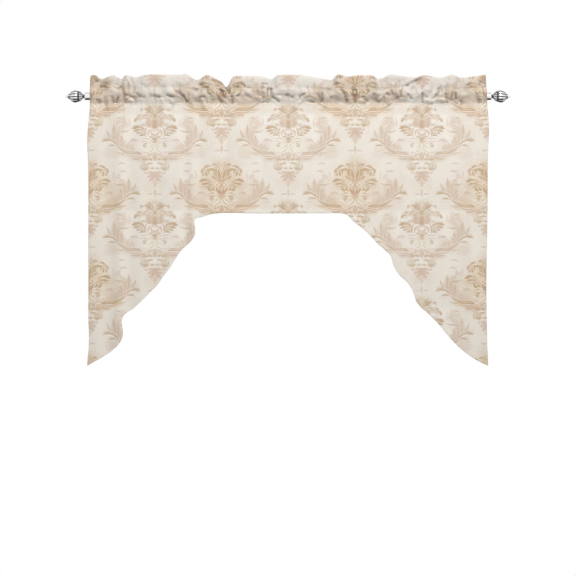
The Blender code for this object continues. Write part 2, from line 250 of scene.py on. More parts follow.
# The lower edge, from the left tail's tip over the swag to the right tail's tip. Millimetres.
HEM = (
    # x, z
    (-624, -842),
    (-604, -830),
    (-573, -811),
    (-547, -792),
    (-530, -775),
    (-522, -760),
    (-518, -725),
    (-515, -696),
    (-508, -681),
    (-485, -664),
    (-432, -613),
    (-405, -585),
    (-392, -565),
    (-366, -531),
    (-347, -500),
    (-336, -484),
    (-301, -449),
    (-294, -436),
    (-291, -408),
    (-289, -386),
    (-269, -377),
    (-238, -368),
    (-197, -364),
    (-88, -366),
    (160, -365),
    (181, -369),
    (209, -394),
    (231, -411),
    (253, -431),
    (281, -461),
    (306, -483),
    (322, -500),
    (329, -526),
    (350, -560),
    (375, -583),
    (392, -611),
    (403, -643),
    (437, -677),
    (463, -702),
    (519, -768),
    (541, -789),
    (569, -811),
    (597, -829),
    (624, -842),
)

# Places where the hem or a side edge swings sideways: centre, push along X and how far the push reaches.
SWINGS = (
    # x, z, push, reach
    (-518, -741, 4.0, 24),
    (-516, -700, -4.5, 24),
    (-291, -422, 2.5, 20),
    (-289, -388, -4.0, 20),
    (-624, 60, 5.5, 60),
    (-624, -30, 4.5, 50),
    (-624, -140, -3.5, 60),
    (-624, -761, 2.5, 40),
    (-624, -838, -3.5, 40),
    (624, 55, -5.5, 50),
    (624, -30, -2.0, 40),
    (624, -100, 4.5, 60),
    (624, -600, -4.0, 170),
    (624, -838, 2.0, 40),
)

# The long folds below the pocket: how wide each is, and how far it lies back (forward where negative) at
# the pocket and at the hem. Millimetres.
FOLDS = (
    # x, width, at_pocket, at_hem
    (-602, 26, -1, -4),
    (-563, 22, 1.5, 3),
    (-527, 17, -2, -5),
    (-495, 20, 2, 3),
    (-452, 28, -1.5, -3),
    (-404, 24, 1.5, 2.5),
    (-352, 30, -1.5, -3),
    (-322, 15, 1, 2.5),
    (-297, 14, -1.5, -4.5),
    (-272, 17, 1, 2.5),
    (-232, 22, -2, -2),
    (-193, 11, 3, 1),
    (-150, 27, -2, -3),
    (-79, 14, 2.5, 1.5),
    (-33, 30, -2, -3),
    (38, 26, 1.5, 2.5),
    (94, 14, 2.5, 1),
    (141, 28, -2, -3),
    (204, 24, 2, 3),
    (256, 26, -1.5, -3),
    (312, 17, 1.5, 3.5),
    (340, 16, -2, -4.5),
    (384, 18, 1.5, 3),
    (428, 26, -1.5, -3.5),
    (480, 22, 1.5, 2.5),
    (531, 26, -1.5, -3.5),
    (577, 20, 1.5, 2.5),
    (611, 22, -1, -4),
)

# Creases in the heading and just under it, each a soft ridge (or a trough, where its depth is negative)
# along a line. Millimetres.
CREASES = (
    # x0, z0, x1, z1, width, depth
    # the broad puffs, and the broad hollows between them
    (-440, 36, -440, 16, 14, 3.0),
    (-378, 36, -378, 16, 14, 3.0),
    (-20, 28, 10, 26, 14, 3.0),
    (380, 22, 440, 22, 12, 2.5),
    (440, -14, 490, -16, 10, 2.5),
    (-533, 8, -540, -12, 12, -2.0),
    (154, -4, 154, -14, 14, -2.2),
    (268, 0, 280, -10, 14, -2.2),
    (520, -4, 560, -12, 15, -2.2),
    (310, 52, 400, 48, 12, -1.6),
    # the left corner and the tight gathers beside it
    (-613, 64, -606, 50, 7, -3.0),
    (-616, 46, -616, 28, 3, -2.0),
    (-602, 48, -585, 42, 6, -2.5),
    (-589, 30, -573, 33, 4, -4.5),
    (-567, 31, -555, 31, 4, 2.5),
    (-578, 44, -556, 43, 5, -2.0),
    (-535, 37, -531, 35, 4, -2.5),
    (-533, 29, -531, 30, 3, 2.0),
    (-526, 29, -522, 29, 3, -4.5),
    (-509, 63, -507, 48, 4, -2.0),
    (-500, 52, -491, 34, 4, 3.0),
    (-489, 56, -482, 30, 4, -3.0),
    (-600, 24, -602, 4, 5, 2.0),
    (-604, 2, -583, 3, 4, -2.5),
    (-597, -6, -583, -12, 8, 2.5),
    (-577, -4, -573, -28, 5, -3.0),
    (-561, -6, -562, -38, 4, 4.0),
    (-556, 22, -530, 12, 7, 3.0),
    (-550, -2, -545, -22, 5, -3.0),
    (-527, 14, -531, -4, 3.5, -3.0),
    (-531, -4, -539, -24, 3.5, -3.5),
    (-525, -10, -524, -26, 4, 3.5),
    (-514, 10, -508, -22, 5, -4.0),
    (-507, 4, -482, -4, 4, -4.0),
    (-500, -8, -488, -16, 6, 4.0),
    (-484, 26, -481, 10, 3, -2.5),
    (-490, 26, -490, 4, 3, 2.5),
    (-478, -8, -477, -24, 4, -3.0),
    # the broad hump and its hollows along the rod
    (-474, 10, -464, 2, 5, -4.5),
    (-462, 0, -449, -4, 4, -4.0),
    (-466, 26, -456, 22, 6, 2.0),
    (-458, 36, -450, 31, 4, -2.0),
    (-440, 22, -434, 8, 7, -2.5),
    (-430, 1, -404, -2, 4.5, -4.0),
    (-403, -2, -388, -4, 3.5, -3.5),
    (-416, 22, -410, 8, 5, 2.5),
    (-414, -8, -414, -24, 3.5, -2.0),
    (-394, -8, -390, -24, 5, 3.5),
    (-393, 24, -390, 8, 6, -3.0),
    (-378, 3, -362, -3, 4.5, -5.5),
    (-367, -8, -364, -18, 4, 4.5),
    (-374, 22, -366, 10, 6, 2.5),
    (-356, -22, -368, -46, 5, -2.5),
    (-350, 18, -348, 12, 3, -3.0),
    (-336, 42, -336, 24, 4, 2.5),
    (-346, 40, -350, 26, 4, -2.0),
    (-341, 12, -328, 0, 6, -5.0),
    (-325, 0, -316, -18, 4, -4.5),
    (-316, -18, -300, -32, 3.5, -3.5),
    (-328, 12, -316, -6, 3, 3.0),
    (-350, -6, -330, -14, 8, -2.0),
    (-310, 20, -290, 24, 6, 2.5),
    (-311, 10, -311, -14, 2.5, -2.5),
    (-305, 0, -305, -16, 2, 2.0),
    (-300, 2, -286, -14, 9, -2.5),
    # the swirl left of the deep notch
    (-286, 26, -276, 20, 3.5, 3.5),
    (-268, 16, -262, 8, 8, 2.5),
    (-274, -2, -262, -2, 3.5, -4.5),
    (-276, -4, -277, -22, 3, -3.0),
    (-260, -2, -252, -22, 3, -3.5),
    (-265, -10, -262, -32, 4, 4.0),
    (-254, 66, -251, 52, 5, -2.5),
    (-276, 38, -258, 26, 5, -3.5),
    (-252, 27, -251, 10, 2.5, -4.0),
    (-249, 8, -240, 3, 2.5, -3.5),
    (-247, 24, -236, 25, 2.5, 3.0),
    (-243, 15, -240, 12, 4, -2.0),
    (-234, 20, -220, 4, 3.5, 3.0),
    (-236, 51, -204, 40, 5, -3.0),
    (-224, 33, -219, 31, 3.5, -3.5),
    (-213, 26, -208, 25, 3, 3.0),
    (-240, -4, -228, -16, 8, -2.5),
    (-208, 12, -196, -4, 5, -6.0),
    (-218, -6, -208, -20, 5, -4.0),
    (-201, 19, -188, 3, 2.5, 4.0),
    (-194, 27, -184, 8, 4, -5.0),
    (-200, -8, -194, -20, 4, 3.0),
    (-178, 36, -176, 4, 3, 3.5),
    (-176, 0, -172, -22, 4, -4.0),
    (-157, 33, -155, 29, 4, -3.5),
    (-168, 30, -160, 24, 6, -2.5),
    (-150, 26, -154, 10, 3, 4.0),
    (-156, 8, -170, 4, 3, 4.0),
    (-146, 20, -150, 6, 2.5, -4.0),
    (-151, 3, -160, -1, 2.5, -4.0),
    (-164, -4, -150, -16, 6, 2.0),
    (-145, 42, -136, 31, 3, -3.5),
    (-135, 30, -121, 25, 3, -3.0),
    (-131, 18, -122, 10, 5, 3.0),
    (-133, 4, -118, -4, 5, -4.0),
    # the pinch left of the middle
    (-110, 15, -98, 8, 5, -3.0),
    (-96, 4, -78, 1, 3, -3.5),
    (-98, 17, -84, 8, 3.5, -4.0),
    (-92, 27, -80, 17, 3, 3.0),
    (-84, 22, -75, 6, 3, -4.5),
    (-69, 24, -69, 4, 2.5, 3.5),
    (-64, 25, -64, 3, 2.5, -4.5),
    (-59, 22, -59, 4, 2.5, 3.0),
    (-78, 38, -66, 38, 3, -3.5),
    (-75, 34, -74, 30, 2.5, 4.0),
    (-96, -2, -84, -14, 6, 3.5),
    (-77, 0, -77, -22, 3, -4.0),
    (-60, -4, -56, -6, 3, 3.0),
    (-68, -10, -64, -20, 4, -2.5),
    (-55, 14, -46, -2, 5, -5.5),
    (-46, -3, -30, -16, 4, -4.5),
    (-50, 26, -44, 12, 4, 2.5),
    # the smooth puff in the middle
    (-38, 24, -22, 36, 3, -3.0),
    (-30, -3, -26, -8, 4, 3.5),
    (-34, 4, -6, 2, 4, -3.5),
    (-4, 4, 14, -3, 5, -4.5),
    (-20, 20, 20, 22, 7, 2.5),
    (20, 2, 34, 6, 6, -2.0),
    (37, 0, 52, 6, 4.5, -5.0),
    (38, -4, 38, -12, 3, -3.0),
    (56, 2, 36, -22, 4, 3.5),
    (36, 22, 44, 8, 4, -2.5),
    (64, 28, 58, 26, 3, -2.0),
    (70, 10, 80, -4, 5, 2.0),
    (62, -14, 80, -18, 4, -3.5),
    (90, 8, 98, 0, 4, -3.5),
    # the upright fold and the swirl to its right
    (99, 14, 99, -24, 3, -3.5),
    (107, 12, 106, -20, 3, -5.5),
    (114, 24, 116, -30, 4, 4.0),
    (126, 12, 134, -2, 5, -3.0),
    (146, 44, 154, 34, 6, -3.5),
    (152, 62, 168, 58, 5, -3.0),
    (158, 70, 162, 64, 4, 2.5),
    (150, 20, 166, 10, 6, 3.0),
    (164, 22, 175, 12, 3.5, -4.5),
    (175, 12, 179, 2, 3, -4.0),
    (168, 29, 178, 25, 3, 3.5),
    (182, 14, 193, 3, 3.5, 4.5),
    (136, -4, 168, -14, 8, -2.0),
    (179, 0, 187, -22, 4, -5.5),
    (196, -8, 200, -20, 5, 3.0),
    (203, 20, 203, 4, 3, -5.0),
    (203, 20, 212, 20, 3, -3.0),
    (213, 18, 213, 2, 3, -5.0),
    (208, 14, 208, 8, 2, 3.0),
    (208, 0, 210, -22, 5, -4.5),
    (224, 38, 225, 24, 3, 2.5),
    (229, 30, 230, 10, 2.5, -3.0),
    (234, 38, 236, 14, 2.5, 2.5),
    (220, -6, 234, -2, 3.5, -4.0),
    (236, -4, 249, -16, 3.5, -4.5),
    (226, -12, 236, -16, 5, 4.0),
    (244, 28, 254, 35, 3, -3.0),
    (246, 20, 252, 14, 3.5, -4.0),
    (256, 37, 276, 31, 3, 3.0),
    (252, 24, 266, 26, 3, 2.0),
    (264, 60, 272, 54, 4, -3.0),
    (252, 60, 258, 50, 4, 2.5),
    (268, 6, 290, 2, 5, -3.5),
    (256, -6, 280, -14, 9, -2.5),
    (284, -10, 305, 12, 3.5, 4.5),
    (308, 8, 318, 4, 4, -5.0),
    (301, -4, 300, -22, 3, -3.5),
    (310, -6, 314, -22, 5, 4.0),
    (322, 16, 326, 8, 4, -4.0),
    (332, 4, 344, -6, 6, -4.0),
    (352, 16, 354, 0, 3.5, -5.0),
    (340, 20, 344, 8, 4, 2.5),
    (348, 48, 348, 26, 3, -2.5),
    (334, 30, 326, 38, 4, 2.0),
    (362, 24, 374, 12, 6, 3.5),
    (334, -10, 366, -18, 7, -2.5),
    # the slanting fold and the upright crease at the right
    (358, 30, 374, 34, 4, -3.0),
    (374, 34, 412, 55, 5, -3.5),
    (376, 48, 420, 66, 6, 2.0),
    (382, 34, 396, 42, 4, 2.0),
    (376, 3, 386, -6, 4.5, -5.0),
    (390, 24, 392, 4, 5, -2.5),
    (403, 20, 411, 6, 5, 3.5),
    (421, 30, 420, 8, 2.5, -4.0),
    (420, 8, 421, -24, 3, -5.0),
    (424, 3, 434, -3, 4, -4.0),
    (430, 22, 446, 20, 6, 3.0),
    (452, 16, 446, 8, 5, -2.0),
    (462, 22, 462, 12, 5, 2.5),
    (474, 18, 464, 2, 4, -5.0),
    (464, 2, 454, -8, 4, -4.5),
    (430, -12, 448, -16, 6, 3.5),
    (466, -8, 484, -12, 6, 3.5),
    (476, 34, 480, 26, 3, -3.0),
    (484, 34, 488, 20, 3, 3.0),
    (491, 30, 493, 4, 3, -3.5),
    (493, 4, 498, -24, 4, -5.0),
    (499, 24, 501, 8, 3, 2.5),
    (500, 60, 504, 50, 5, -2.0),
    (514, 10, 512, -4, 4, -3.0),
    (504, -10, 514, -12, 5, -2.5),
    (524, 10, 524, -8, 3, -4.5),
    (516, -4, 540, -32, 3, 4.0),
    (534, 16, 544, 4, 6, 2.5),
    (540, -18, 544, -26, 4, -3.0),
    (552, 20, 576, 4, 8, -2.0),
    (556, 40, 548, 52, 5, 2.0),
    (566, 34, 576, 28, 4, -2.5),
    (556, -14, 566, -22, 7, 2.0),
    (582, 28, 596, 26, 3, 2.5),
    (590, 0, 602, -18, 7, -3.5),
    (602, 34, 608, 46, 4, -3.0),
    (614, 62, 616, 40, 4, -3.0),
    (612, 24, 617, -20, 4, -2.5),
)

# The finial's outline past the collar: distance along the rod, radius, depth of the flutes, and how dark the
# plating is painted there, as dark antiquing in its grooves and as painted shade at its neck. Millimetres,
# but for the last.
FINIAL = (
    # x, radius, flute, dark
    (636.9, 5.4, 0.0, 0.3),
    (637.6, 6.0, 0.0, 0.9),
    (638.6, 5.0, 0.0, 1.0),
    (640.2, 5.0, 0.0, 1.0),
    (641.4, 6.9, 0.3, 0.6),
    (643.6, 10.0, 0.9, 0.2),
    (646.8, 12.9, 1.3, 0.15),
    (650.4, 15.4, 1.4, 0.15),
    (652.8, 16.7, 0.8, 0.7),
    (653.6, 16.8, 0.2, 1.0),
    (654.2, 15.6, 0.0, 1.0),
    (655.8, 15.6, 0.0, 1.0),
    (656.6, 16.9, 0.6, 1.0),
    (658.0, 17.8, 1.3, 0.2),
    (662.4, 19.1, 2.0, 0.0),
    (666.0, 19.3, 2.1, 0.0),
    (670.0, 18.6, 2.0, 0.0),
    (674.5, 16.4, 1.7, 0.0),
    (678.5, 13.0, 1.3, 0.1),
    (681.5, 9.4, 0.6, 0.4),
    (683.2, 7.0, 0.0, 0.9),
    (683.9, 7.6, 0.0, 0.8),
    (685.4, 7.9, 0.0, 0.6),
    (686.8, 7.6, 0.0, 0.7),
    (687.4, 4.9, 0.0, 0.8),
    (688.2, 3.2, 0.0, 0.5),
    (690.4, 3.3, 0.0, 0.0),
    (692.6, 2.8, 0.0, 0.0),
    (694.2, 1.6, 0.0, 0.0),
    (694.8, 0.4, 0.0, 0.0),
)
FLUTES = 12
SIDES_PER_FLUTE = 12
FINIAL_STATIONS = 75
FLUTE_TURN = math.radians(7.5)
# The flutes are full where they are this deep, and their dark lines lie in this span of a flute's dip.
FULL_FLUTE = 1.2
DARK_DIP = (0.3, 0.6)

# The print: one damask bloom over a garland, drawn for its right half about the knot under the bloom, in
# millimetres. Its mirror image makes the left half, and it repeats in a half-drop.
REPEAT_HEIGHT = 302.0
HALF_REPEAT = 208.7
HALF_DROP = 165.7
KNOT = (1.0, -163.2)
# How far sideways the bloom's own cell reaches at each height about its knot; past that is its neighbour's.
CELL_EDGE = (
    # w, reach
    (-151, 42),
    (-98, 42),
    (-92, 60),
    (-70, 64),
    (-60, 75),
    (-38, 75),
    (-34, 140),
    (-25, 168),
    (14, 172),
    (70, 178),
    (76, 138),
    (106, 138),
    (110, 100),
    (114, 47),
    (151, 42),
)
LEAF_RIM = 1.2
RIM_TONE = -0.45
PRINT_BLUR = 0.65
SMUDGE_BLUR = 3.2
# Each leaf is paler on the side that faces this way and darker on the other.
LEAF_LIGHT = (-0.1, 0.2)
# How much more ink the second column of blooms has than the first.
SECOND_INK = 1.02
# Tones of the cloth, from the palest line of the print (-1) over the bare ground (0) to full ink (1).
INKS = (
    # tone, red, green, blue
    (-1.0, 245, 240, 233),
    (0.0, 234, 227, 219),
    (0.5, 220, 205, 190),
    (1.0, 203, 180, 156),
    (1.5, 186, 157, 127),
)
# Soft washes under the print: middle, reach, and the tone each adds under the first and the second bloom.
WASHES = (
    # u, w, reach_u, reach_w, first, second
    (0, 92, 42, 44, 0.3, 0.3),
    (0, 34, 34, 40, 0.15, 0.2),
    (50, 56, 34, 26, 0.1, 0.2),
    (40, 2, 36, 30, -0.15, 0.1),
    (80, 2, 42, 24, 0.25, 0.25),
    (116, 34, 32, 44, 0.3, 0.3),
    (142, 30, 30, 24, 0.15, 0.2),
    (104, 78, 28, 30, 0.35, 0.05),
    (78, 40, 30, 36, -0.3, 0.1),
    (68, 92, 26, 20, -0.5, -0.1),
    (46, -28, 46, 18, 0.35, 0.35),
    (4, -24, 24, 20, 0.3, 0.4),
    (28, -54, 28, 26, 0.3, 0.3),
    (50, -62, 24, 26, -0.15, -0.1),
    (18, -112, 24, 36, 0.15, 0.0),
    (0, 128, 44, 23, 0.3, 0.15),
    (132, -16, 34, 24, 0.25, 0.1),
)
# Where the print leans to pink (1) or to olive (-1), under the first and the second bloom.
HUES = (
    # u, w, reach_u, reach_w, first, second
    (0, -88, 30, 30, 0.9, 0.9),
    (66, 22, 26, 16, 0.5, 0.0),
    (32, -58, 24, 20, -0.4, -0.4),
    (156, 24, 24, 14, -0.3, -0.3),
    (8, 4, 20, 18, -0.5, -0.5),
    (30, 10, 10, 10, -0.6, 0.2),
    (104, 120, 26, 14, -0.4, -0.4),
    (38, 42, 14, 12, -0.6, -0.7),
    (22, 76, 14, 22, 0.4, 0.4),
    (4, 54, 16, 12, 0.9, 0.6),
    (6, 28, 16, 12, -0.1, 1.3),
    (0, 104, 12, 16, -0.8, 0.4),
    (4, 138, 16, 10, -0.9, 0.0),
    (30, 98, 24, 8, 0.0, -0.8),
    (46, -22, 40, 12, 0.7, 0.7),
    (114, 20, 20, 34, 0.5, 0.5),
    (100, 82, 26, 28, 0.3, 0.4),
)
# Where the second bloom has a warm glaze over it, and how much ink a full glaze adds.
GLAZE_INK = 0.25
GLAZES = (
    # u, w, reach_u, reach_w, first, second
    (0, 34, 150, 130, 0.0, 0.45),
    (0, 64, 80, 76, 0.0, 0.5),
    (60, -16, 64, 18, 0.0, 0.5),
    (110, 100, 40, 50, 0.0, -0.4),
)
# The shapes of the print, back to front. Each lies along a line, which may bow to its left, and has half
# its width and a tone at either end. Leaves and petals have a pale rim, and a smudge has a soft edge.
# Leaves and lines are pointed; the others are blunt.
SHAPES = {
    "small hooks": (
        # kind, u0, w0, u1, w1, bow, half, tone0, tone1
        ("smudge", 90, 84, 98, 72, 0, 9, 0.3, 0.35),
        ("smudge", 98, 64, 116, 58, 0, 9, 0.4, 0.4),
        ("leaf", 90, 112, 120, 114, 8, 3.6, 0.45, 0.55),
        ("line", 94, 102, 110, 98, -5, 2.2, 0.35, 0.4),
        ("leaf", 98, 86, 124, 91, 8, 4.0, 0.5, 0.5),
        ("line", 108, 62, 100, 92, 6, 2.6, 0.4, 0.45),
        ("line", 84, 64, 84, 100, 5, 2.0, 0.3, 0.4),
        ("leaf", 104, 57, 76, 61, 5, 3.4, 0.4, 0.4),
        ("line", 118, 50, 88, 50, -3, 3.4, 0.6, 0.65),
        ("line", 96, 76, 118, 62, 6, 1.5, -0.3, -0.2),
        ("line", 126, -4, 158, -2, 4, 2.4, 0.2, 0.35),
    ),
    "lines under the garland": (
        ("smudge", 18, -22, 72, -22, -4, 7, 0.4, 0.35),
        ("line", 12, -36, 42, -35, 2, 2.6, 0.9, 0.95),
        ("line", 44, -32, 74, -31, -1, 2.8, 0.75, 0.65),
        ("line", 20, -25, 70, -25, -3, 2.2, 0.8, 0.7),
        ("line", 6, -10, 128, 8, -25, 1.8, -0.5, -0.55),
        ("line", 8, -6, 122, 6, -25, 2.2, 0.65, 0.6),
        ("line", 12, -3, 118, 8, -21, 1.6, -0.45, -0.4),
        ("line", 84, -18, 122, -11, -1, 2.8, 0.65, 0.55),
        ("line", 84, -24, 112, -18, -2, 1.8, 0.35, 0.35),
    ),
    "spray": (
        ("smudge", 106, 4, 124, 44, -3, 12, 0.5, 0.45),
        ("smudge", 114, 32, 130, 66, -2, 8, 0.45, 0.4),
        ("line", 112, 2, 129, 76, -2, 5.6, 0.65, 0.75),
        ("line", 116, 8, 151, 60, -4, 4.6, 0.6, 0.75),
        ("line", 112, 4, 115, 56, 3, 3.8, 0.65, 0.6),
        ("line", 110, 0, 103, 42, 4, 4.2, 0.7, 0.75),
        ("line", 106, 0, 94, 28, 3, 3.0, 0.5, 0.45),
        ("line", 117, 10, 126, 66, 0, 1.1, 0.05, 0.1),
        ("line", 122, 14, 146, 52, -2, 1.1, 0.05, 0.1),
        ("line", 112, 10, 111, 44, 1, 1.0, 0.1, 0.15),
        ("leaf", 108, -1, 169, 20, 15, 5.4, 0.75, 0.8),
        ("smudge", 138, 27, 162, 26, 2, 3.0, 0.95, 0.95),
        ("line", 122, 12, 160, 16, 7, 2.2, -0.35, -0.3),
        ("leaf", 114, 4, 151, 4, 7, 3.4, 0.65, 0.65),
        ("smudge", 127, 9, 143, 9, 1, 2.2, 0.85, 0.8),
    ),
    "feathers": (
        ("smudge", 62, -4, 100, 8, -2, 11, 0.4, 0.4),
        ("line", 102, -2, 96, 34, -6, 3.2, 0.6, 0.45),
        ("line", 93, -5, 87, 26, -8, 3.2, 0.55, 0.4),
        ("line", 83, -8, 76, 22, -8, 3.2, 0.55, 0.4),
        ("line", 73, -11, 66, 18, -8, 2.8, 0.5, 0.4),
        ("smudge", 81, -10, 90, 2, -1, 3.6, 0.75, 0.65),
        ("leaf", 20, -10, 124, 13, -15, 6.2, 0.75, 0.75),
        ("smudge", 44, -13, 72, -14, 0, 3.6, 0.95, 0.9),
        ("line", 34, -19, 84, -17, -2, 1.1, -0.3, -0.2),
        ("line", 34, -9, 100, -1, -9, 1.0, 0.2, 0.25),
    ),
    "volute": (
        ("line", 10, 12, 58, 8, -26, 2.2, -0.3, -0.3),
        ("line", 56, 8, 26, 20, 10, 2.2, -0.4, -0.3),
        ("line", 22, -8, 50, 6, -10, 1.4, 0.35, 0.3),
        ("line", 3, 12, 26, -14, -6, 2.2, 0.5, 0.6),
        ("line", 7, 15, 26, -9, -7, 1.5, -0.6, -0.5),
        ("line", 11, 14, 24, 0, -4, 1.5, 0.4, 0.3),
        ("smudge", 25, 9, 38, 9, 0, 5.8, 0.65, 0.6),
        ("line", 22, 14, 36, 14, 2, 1.6, 0.9, 0.7),
        ("line", 22, 21, 46, 18, 4, 1.8, 0.6, 0.45),
        ("smudge", 50, 22, 80, 21, 6, 4.5, 0.4, 0.4),
        ("smudge", 62, 27, 76, 25, 1, 2.2, 0.6, 0.55),
        ("line", 54, 17, 80, 15, 4, 1.4, 0.2, 0.25),
    ),
    "pendant": (
        ("smudge", 18, -54, 38, -55, 0, 14, 0.4, 0.5),
        ("line", 12, -41, 32, -44, 1, 2.4, -0.4, -0.3),
        ("line", 4, -48, 28, -49, 3, 2.2, 0.8, 0.85),
        ("line", 6, -53, 20, -58, 2, 2.2, -0.5, -0.3),
        ("line", 40, -44, 30, -70, 8, 3.2, 0.5, 0.6),
        ("smudge", 20, -61, 38, -62, -2, 3.0, 0.95, 0.9),
        ("line", 6, -65, 24, -70, 2, 1.8, -0.5, -0.3),
        ("leaf", 12, -75, 38, -71, -4, 3.2, 0.55, 0.55),
        ("leaf", 0, -61, 16, -64, 1, 3.4, 0.8, 0.7),
        ("leaf", 0, -32, 24, -26, -4, 4.6, 0.75, 0.8),
        ("leaf", 2, -14, 22, -28, 5, 5.0, 0.5, 0.85),
        ("leaf", 0, -8, 0, -40, 0, 8, 0.45, 0.8),
        ("line", 2, -8, 18, -22, 4, 1.6, -0.45, -0.3),
        ("smudge", 0, -46, 0, -54, 0, 5, -0.6, -0.6),
    ),
    "drop": (
        ("petal", 4, -76, 22, -76, 2, 5, 0.6, 0.55),
        ("petal", 4, -88, 25, -88, 2, 6, 0.65, 0.55),
        ("leaf", 2, -92, 20, -104, 2, 6, 0.6, 0.55),
        ("leaf", 0, -98, 11, -113, 1, 5, 0.5, 0.45),
        ("smudge", 0, -70, 0, -106, 0, 12, 0.7, 0.7),
        ("leaf", 0, -94, 0, -128, 0, 6, 0.55, 0.35),
        ("leaf", 0, -142, 26, -143, 1, 3.6, 0.5, 0.4),
        ("leaf", 0, -122, 0, -153, 0, 4.5, 0.4, 0.5),
    ),
    "crown": (
        ("smudge", 0, 62, 0, 112, 0, 24, 0.65, 0.65),
        ("smudge", 14, 99, 56, 90, 6, 11, 0.7, 0.6),
        ("smudge", -24, 116, 24, 116, 0, 6, 0.75, 0.75),
        ("petal", 2, 112, 8, 139, 2, 6, 0.7, 0.6),
        ("petal", 6, 112, 22, 135, 3, 7, 0.85, 0.7),
        ("petal", 10, 112, 33, 126, 3, 6.5, 0.9, 0.75),
        ("smudge", 12, 117, 23, 127, 0, 6, 1.0, 0.95),
        ("smudge", 0, 120, 0, 140, 0, 4, 0.4, 0.45),
        ("line", 0, 111, 34, 112, 1, 1.8, 1.1, 0.95),
        ("leaf", 30, 120, 54, 116, 5, 5.0, 0.45, 0.75),
        ("smudge", 40, 120, 50, 118, 0, 2.4, 0.85, 0.85),
        ("line", 26, 109, 46, 109, 2, 2.8, -0.2, -0.4),
        ("leaf", 0, 92, 0, 113, 0, 7, 0.95, 0.85),
        ("leaf", 10, 92, 36, 99, 11, 5.5, 0.7, 0.85),
        ("leaf", 24, 104, 38, 96, 4, 4, 0.8, 0.95),
        ("line", 12, 102, 24, 106, 2, 1.3, 0.1, 0.1),
        ("line", 14, 94, 32, 98, 6, 1.5, 0.15, 0.1),
        ("leaf", 28, 92, 54, 97, 6, 4.2, 0.65, 0.8),
        ("leaf", 40, 103, 58, 94, 4, 4.5, 0.6, 0.85),
        ("line", 34, 95, 50, 98, 3, 1.2, 0.2, 0.2),
        ("petal", 44, 93, 66, 83, 6, 4.5, 0.65, 0.8),
        ("smudge", 57, 88, 62, 86, 1, 4.2, 1.0, 1.0),
        ("smudge", 30, 86, 46, 84, 1, 4.5, -0.35, -0.3),
        ("smudge", 28, 74, 44, 74, 0, 4, 0.6, 0.5),
        ("line", 28, 66, 48, 66, 1, 1.8, -0.5, -0.3),
        ("smudge", 18, 66, 20, 88, 0, 8, 0.75, 0.7),
        ("line", 11, 66, 12, 92, 1, 1.0, 0.5, 0.45),
        ("smudge", 0, 62, 0, 90, 0, 7, 1.05, 0.95),
        ("smudge", 10, 63, 17, 63, 0, 1.8, -0.4, -0.4),
    ),
    "side leaves": (
        ("smudge", 30, 50, 62, 58, 4, 12, 0.7, 0.8),
        ("leaf", 28, 56, 74, 62, 7, 7.5, 0.8, 1.0),
        ("smudge", 55, 67, 68, 64, 1, 5, 1.05, 1.05),
        ("line", 38, 60, 62, 60, 3, 1.3, 0.1, 0.2),
        ("leaf", 30, 51, 70, 53, 5, 4.8, 0.9, 1.05),
        ("line", 36, 54, 58, 53, 3, 1.2, 0.1, 0.2),
        ("leaf", 26, 45, 60, 46, 4, 4.4, 0.85, 1.0),
        ("line", 34, 48, 52, 48, 2, 1.2, -0.2, 0.0),
        ("leaf", 24, 39, 50, 40, 3, 4.0, 0.8, 0.95),
        ("smudge", 34, 45, 42, 41, 0, 4.5, 0.95, 0.95),
        ("line", 40, 44, 54, 44, 1, 1.2, -0.3, -0.1),
        ("line", 20, 28, 50, 35, 6, 1.9, -0.8, -0.6),
    ),
    "bud": (
        ("smudge", 4, 38, 20, 56, 0, 9, 0.3, 0.35),
        ("leaf", 24, 68, 26, 34, 5, 4.8, 0.6, 0.75),
        ("line", 10, 62, 22, 40, 5, 2.2, 0.55, 0.6),
        ("line", 9, 65, 27, 46, 6, 1.8, -0.8, -0.6),
        ("line", 28, 48, 16, 30, 3, 1.6, -0.6, -0.5),
        ("line", 0, 64, 9, 52, 2, 1.7, 0.5, 0.5),
        ("smudge", 1, 52, 8, 50, 0, 3.4, -0.7, -0.7),
        ("smudge", 12, 46, 17, 42, 0, 3.0, -0.6, -0.6),
        ("smudge", 3, 45, 12, 42, 2, 2.4, 0.8, 0.85),
        ("leaf", 0, 12, 0, 46, 0, 15, 0.65, 0.7),
        ("smudge", 0, 36, 0, 24, 0, 5, 0.9, 0.85),
        ("leaf", 2, 38, 22, 28, 4, 3.6, 0.65, 0.65),
        ("line", 4, 22, 30, 34, 3, 2.0, -0.8, -0.8),
        ("line", 6, 18, 46, 29, 8, 1.7, 0.6, 0.55),
        ("line", 4, 14, 44, 24, 7, 1.7, -0.7, -0.5),
        ("line", 6, 12, 34, 19, 5, 1.4, 0.5, 0.4),
        ("leaf", 0, 16, 12, 0, 3, 3.0, 0.4, 0.4),
    ),
}
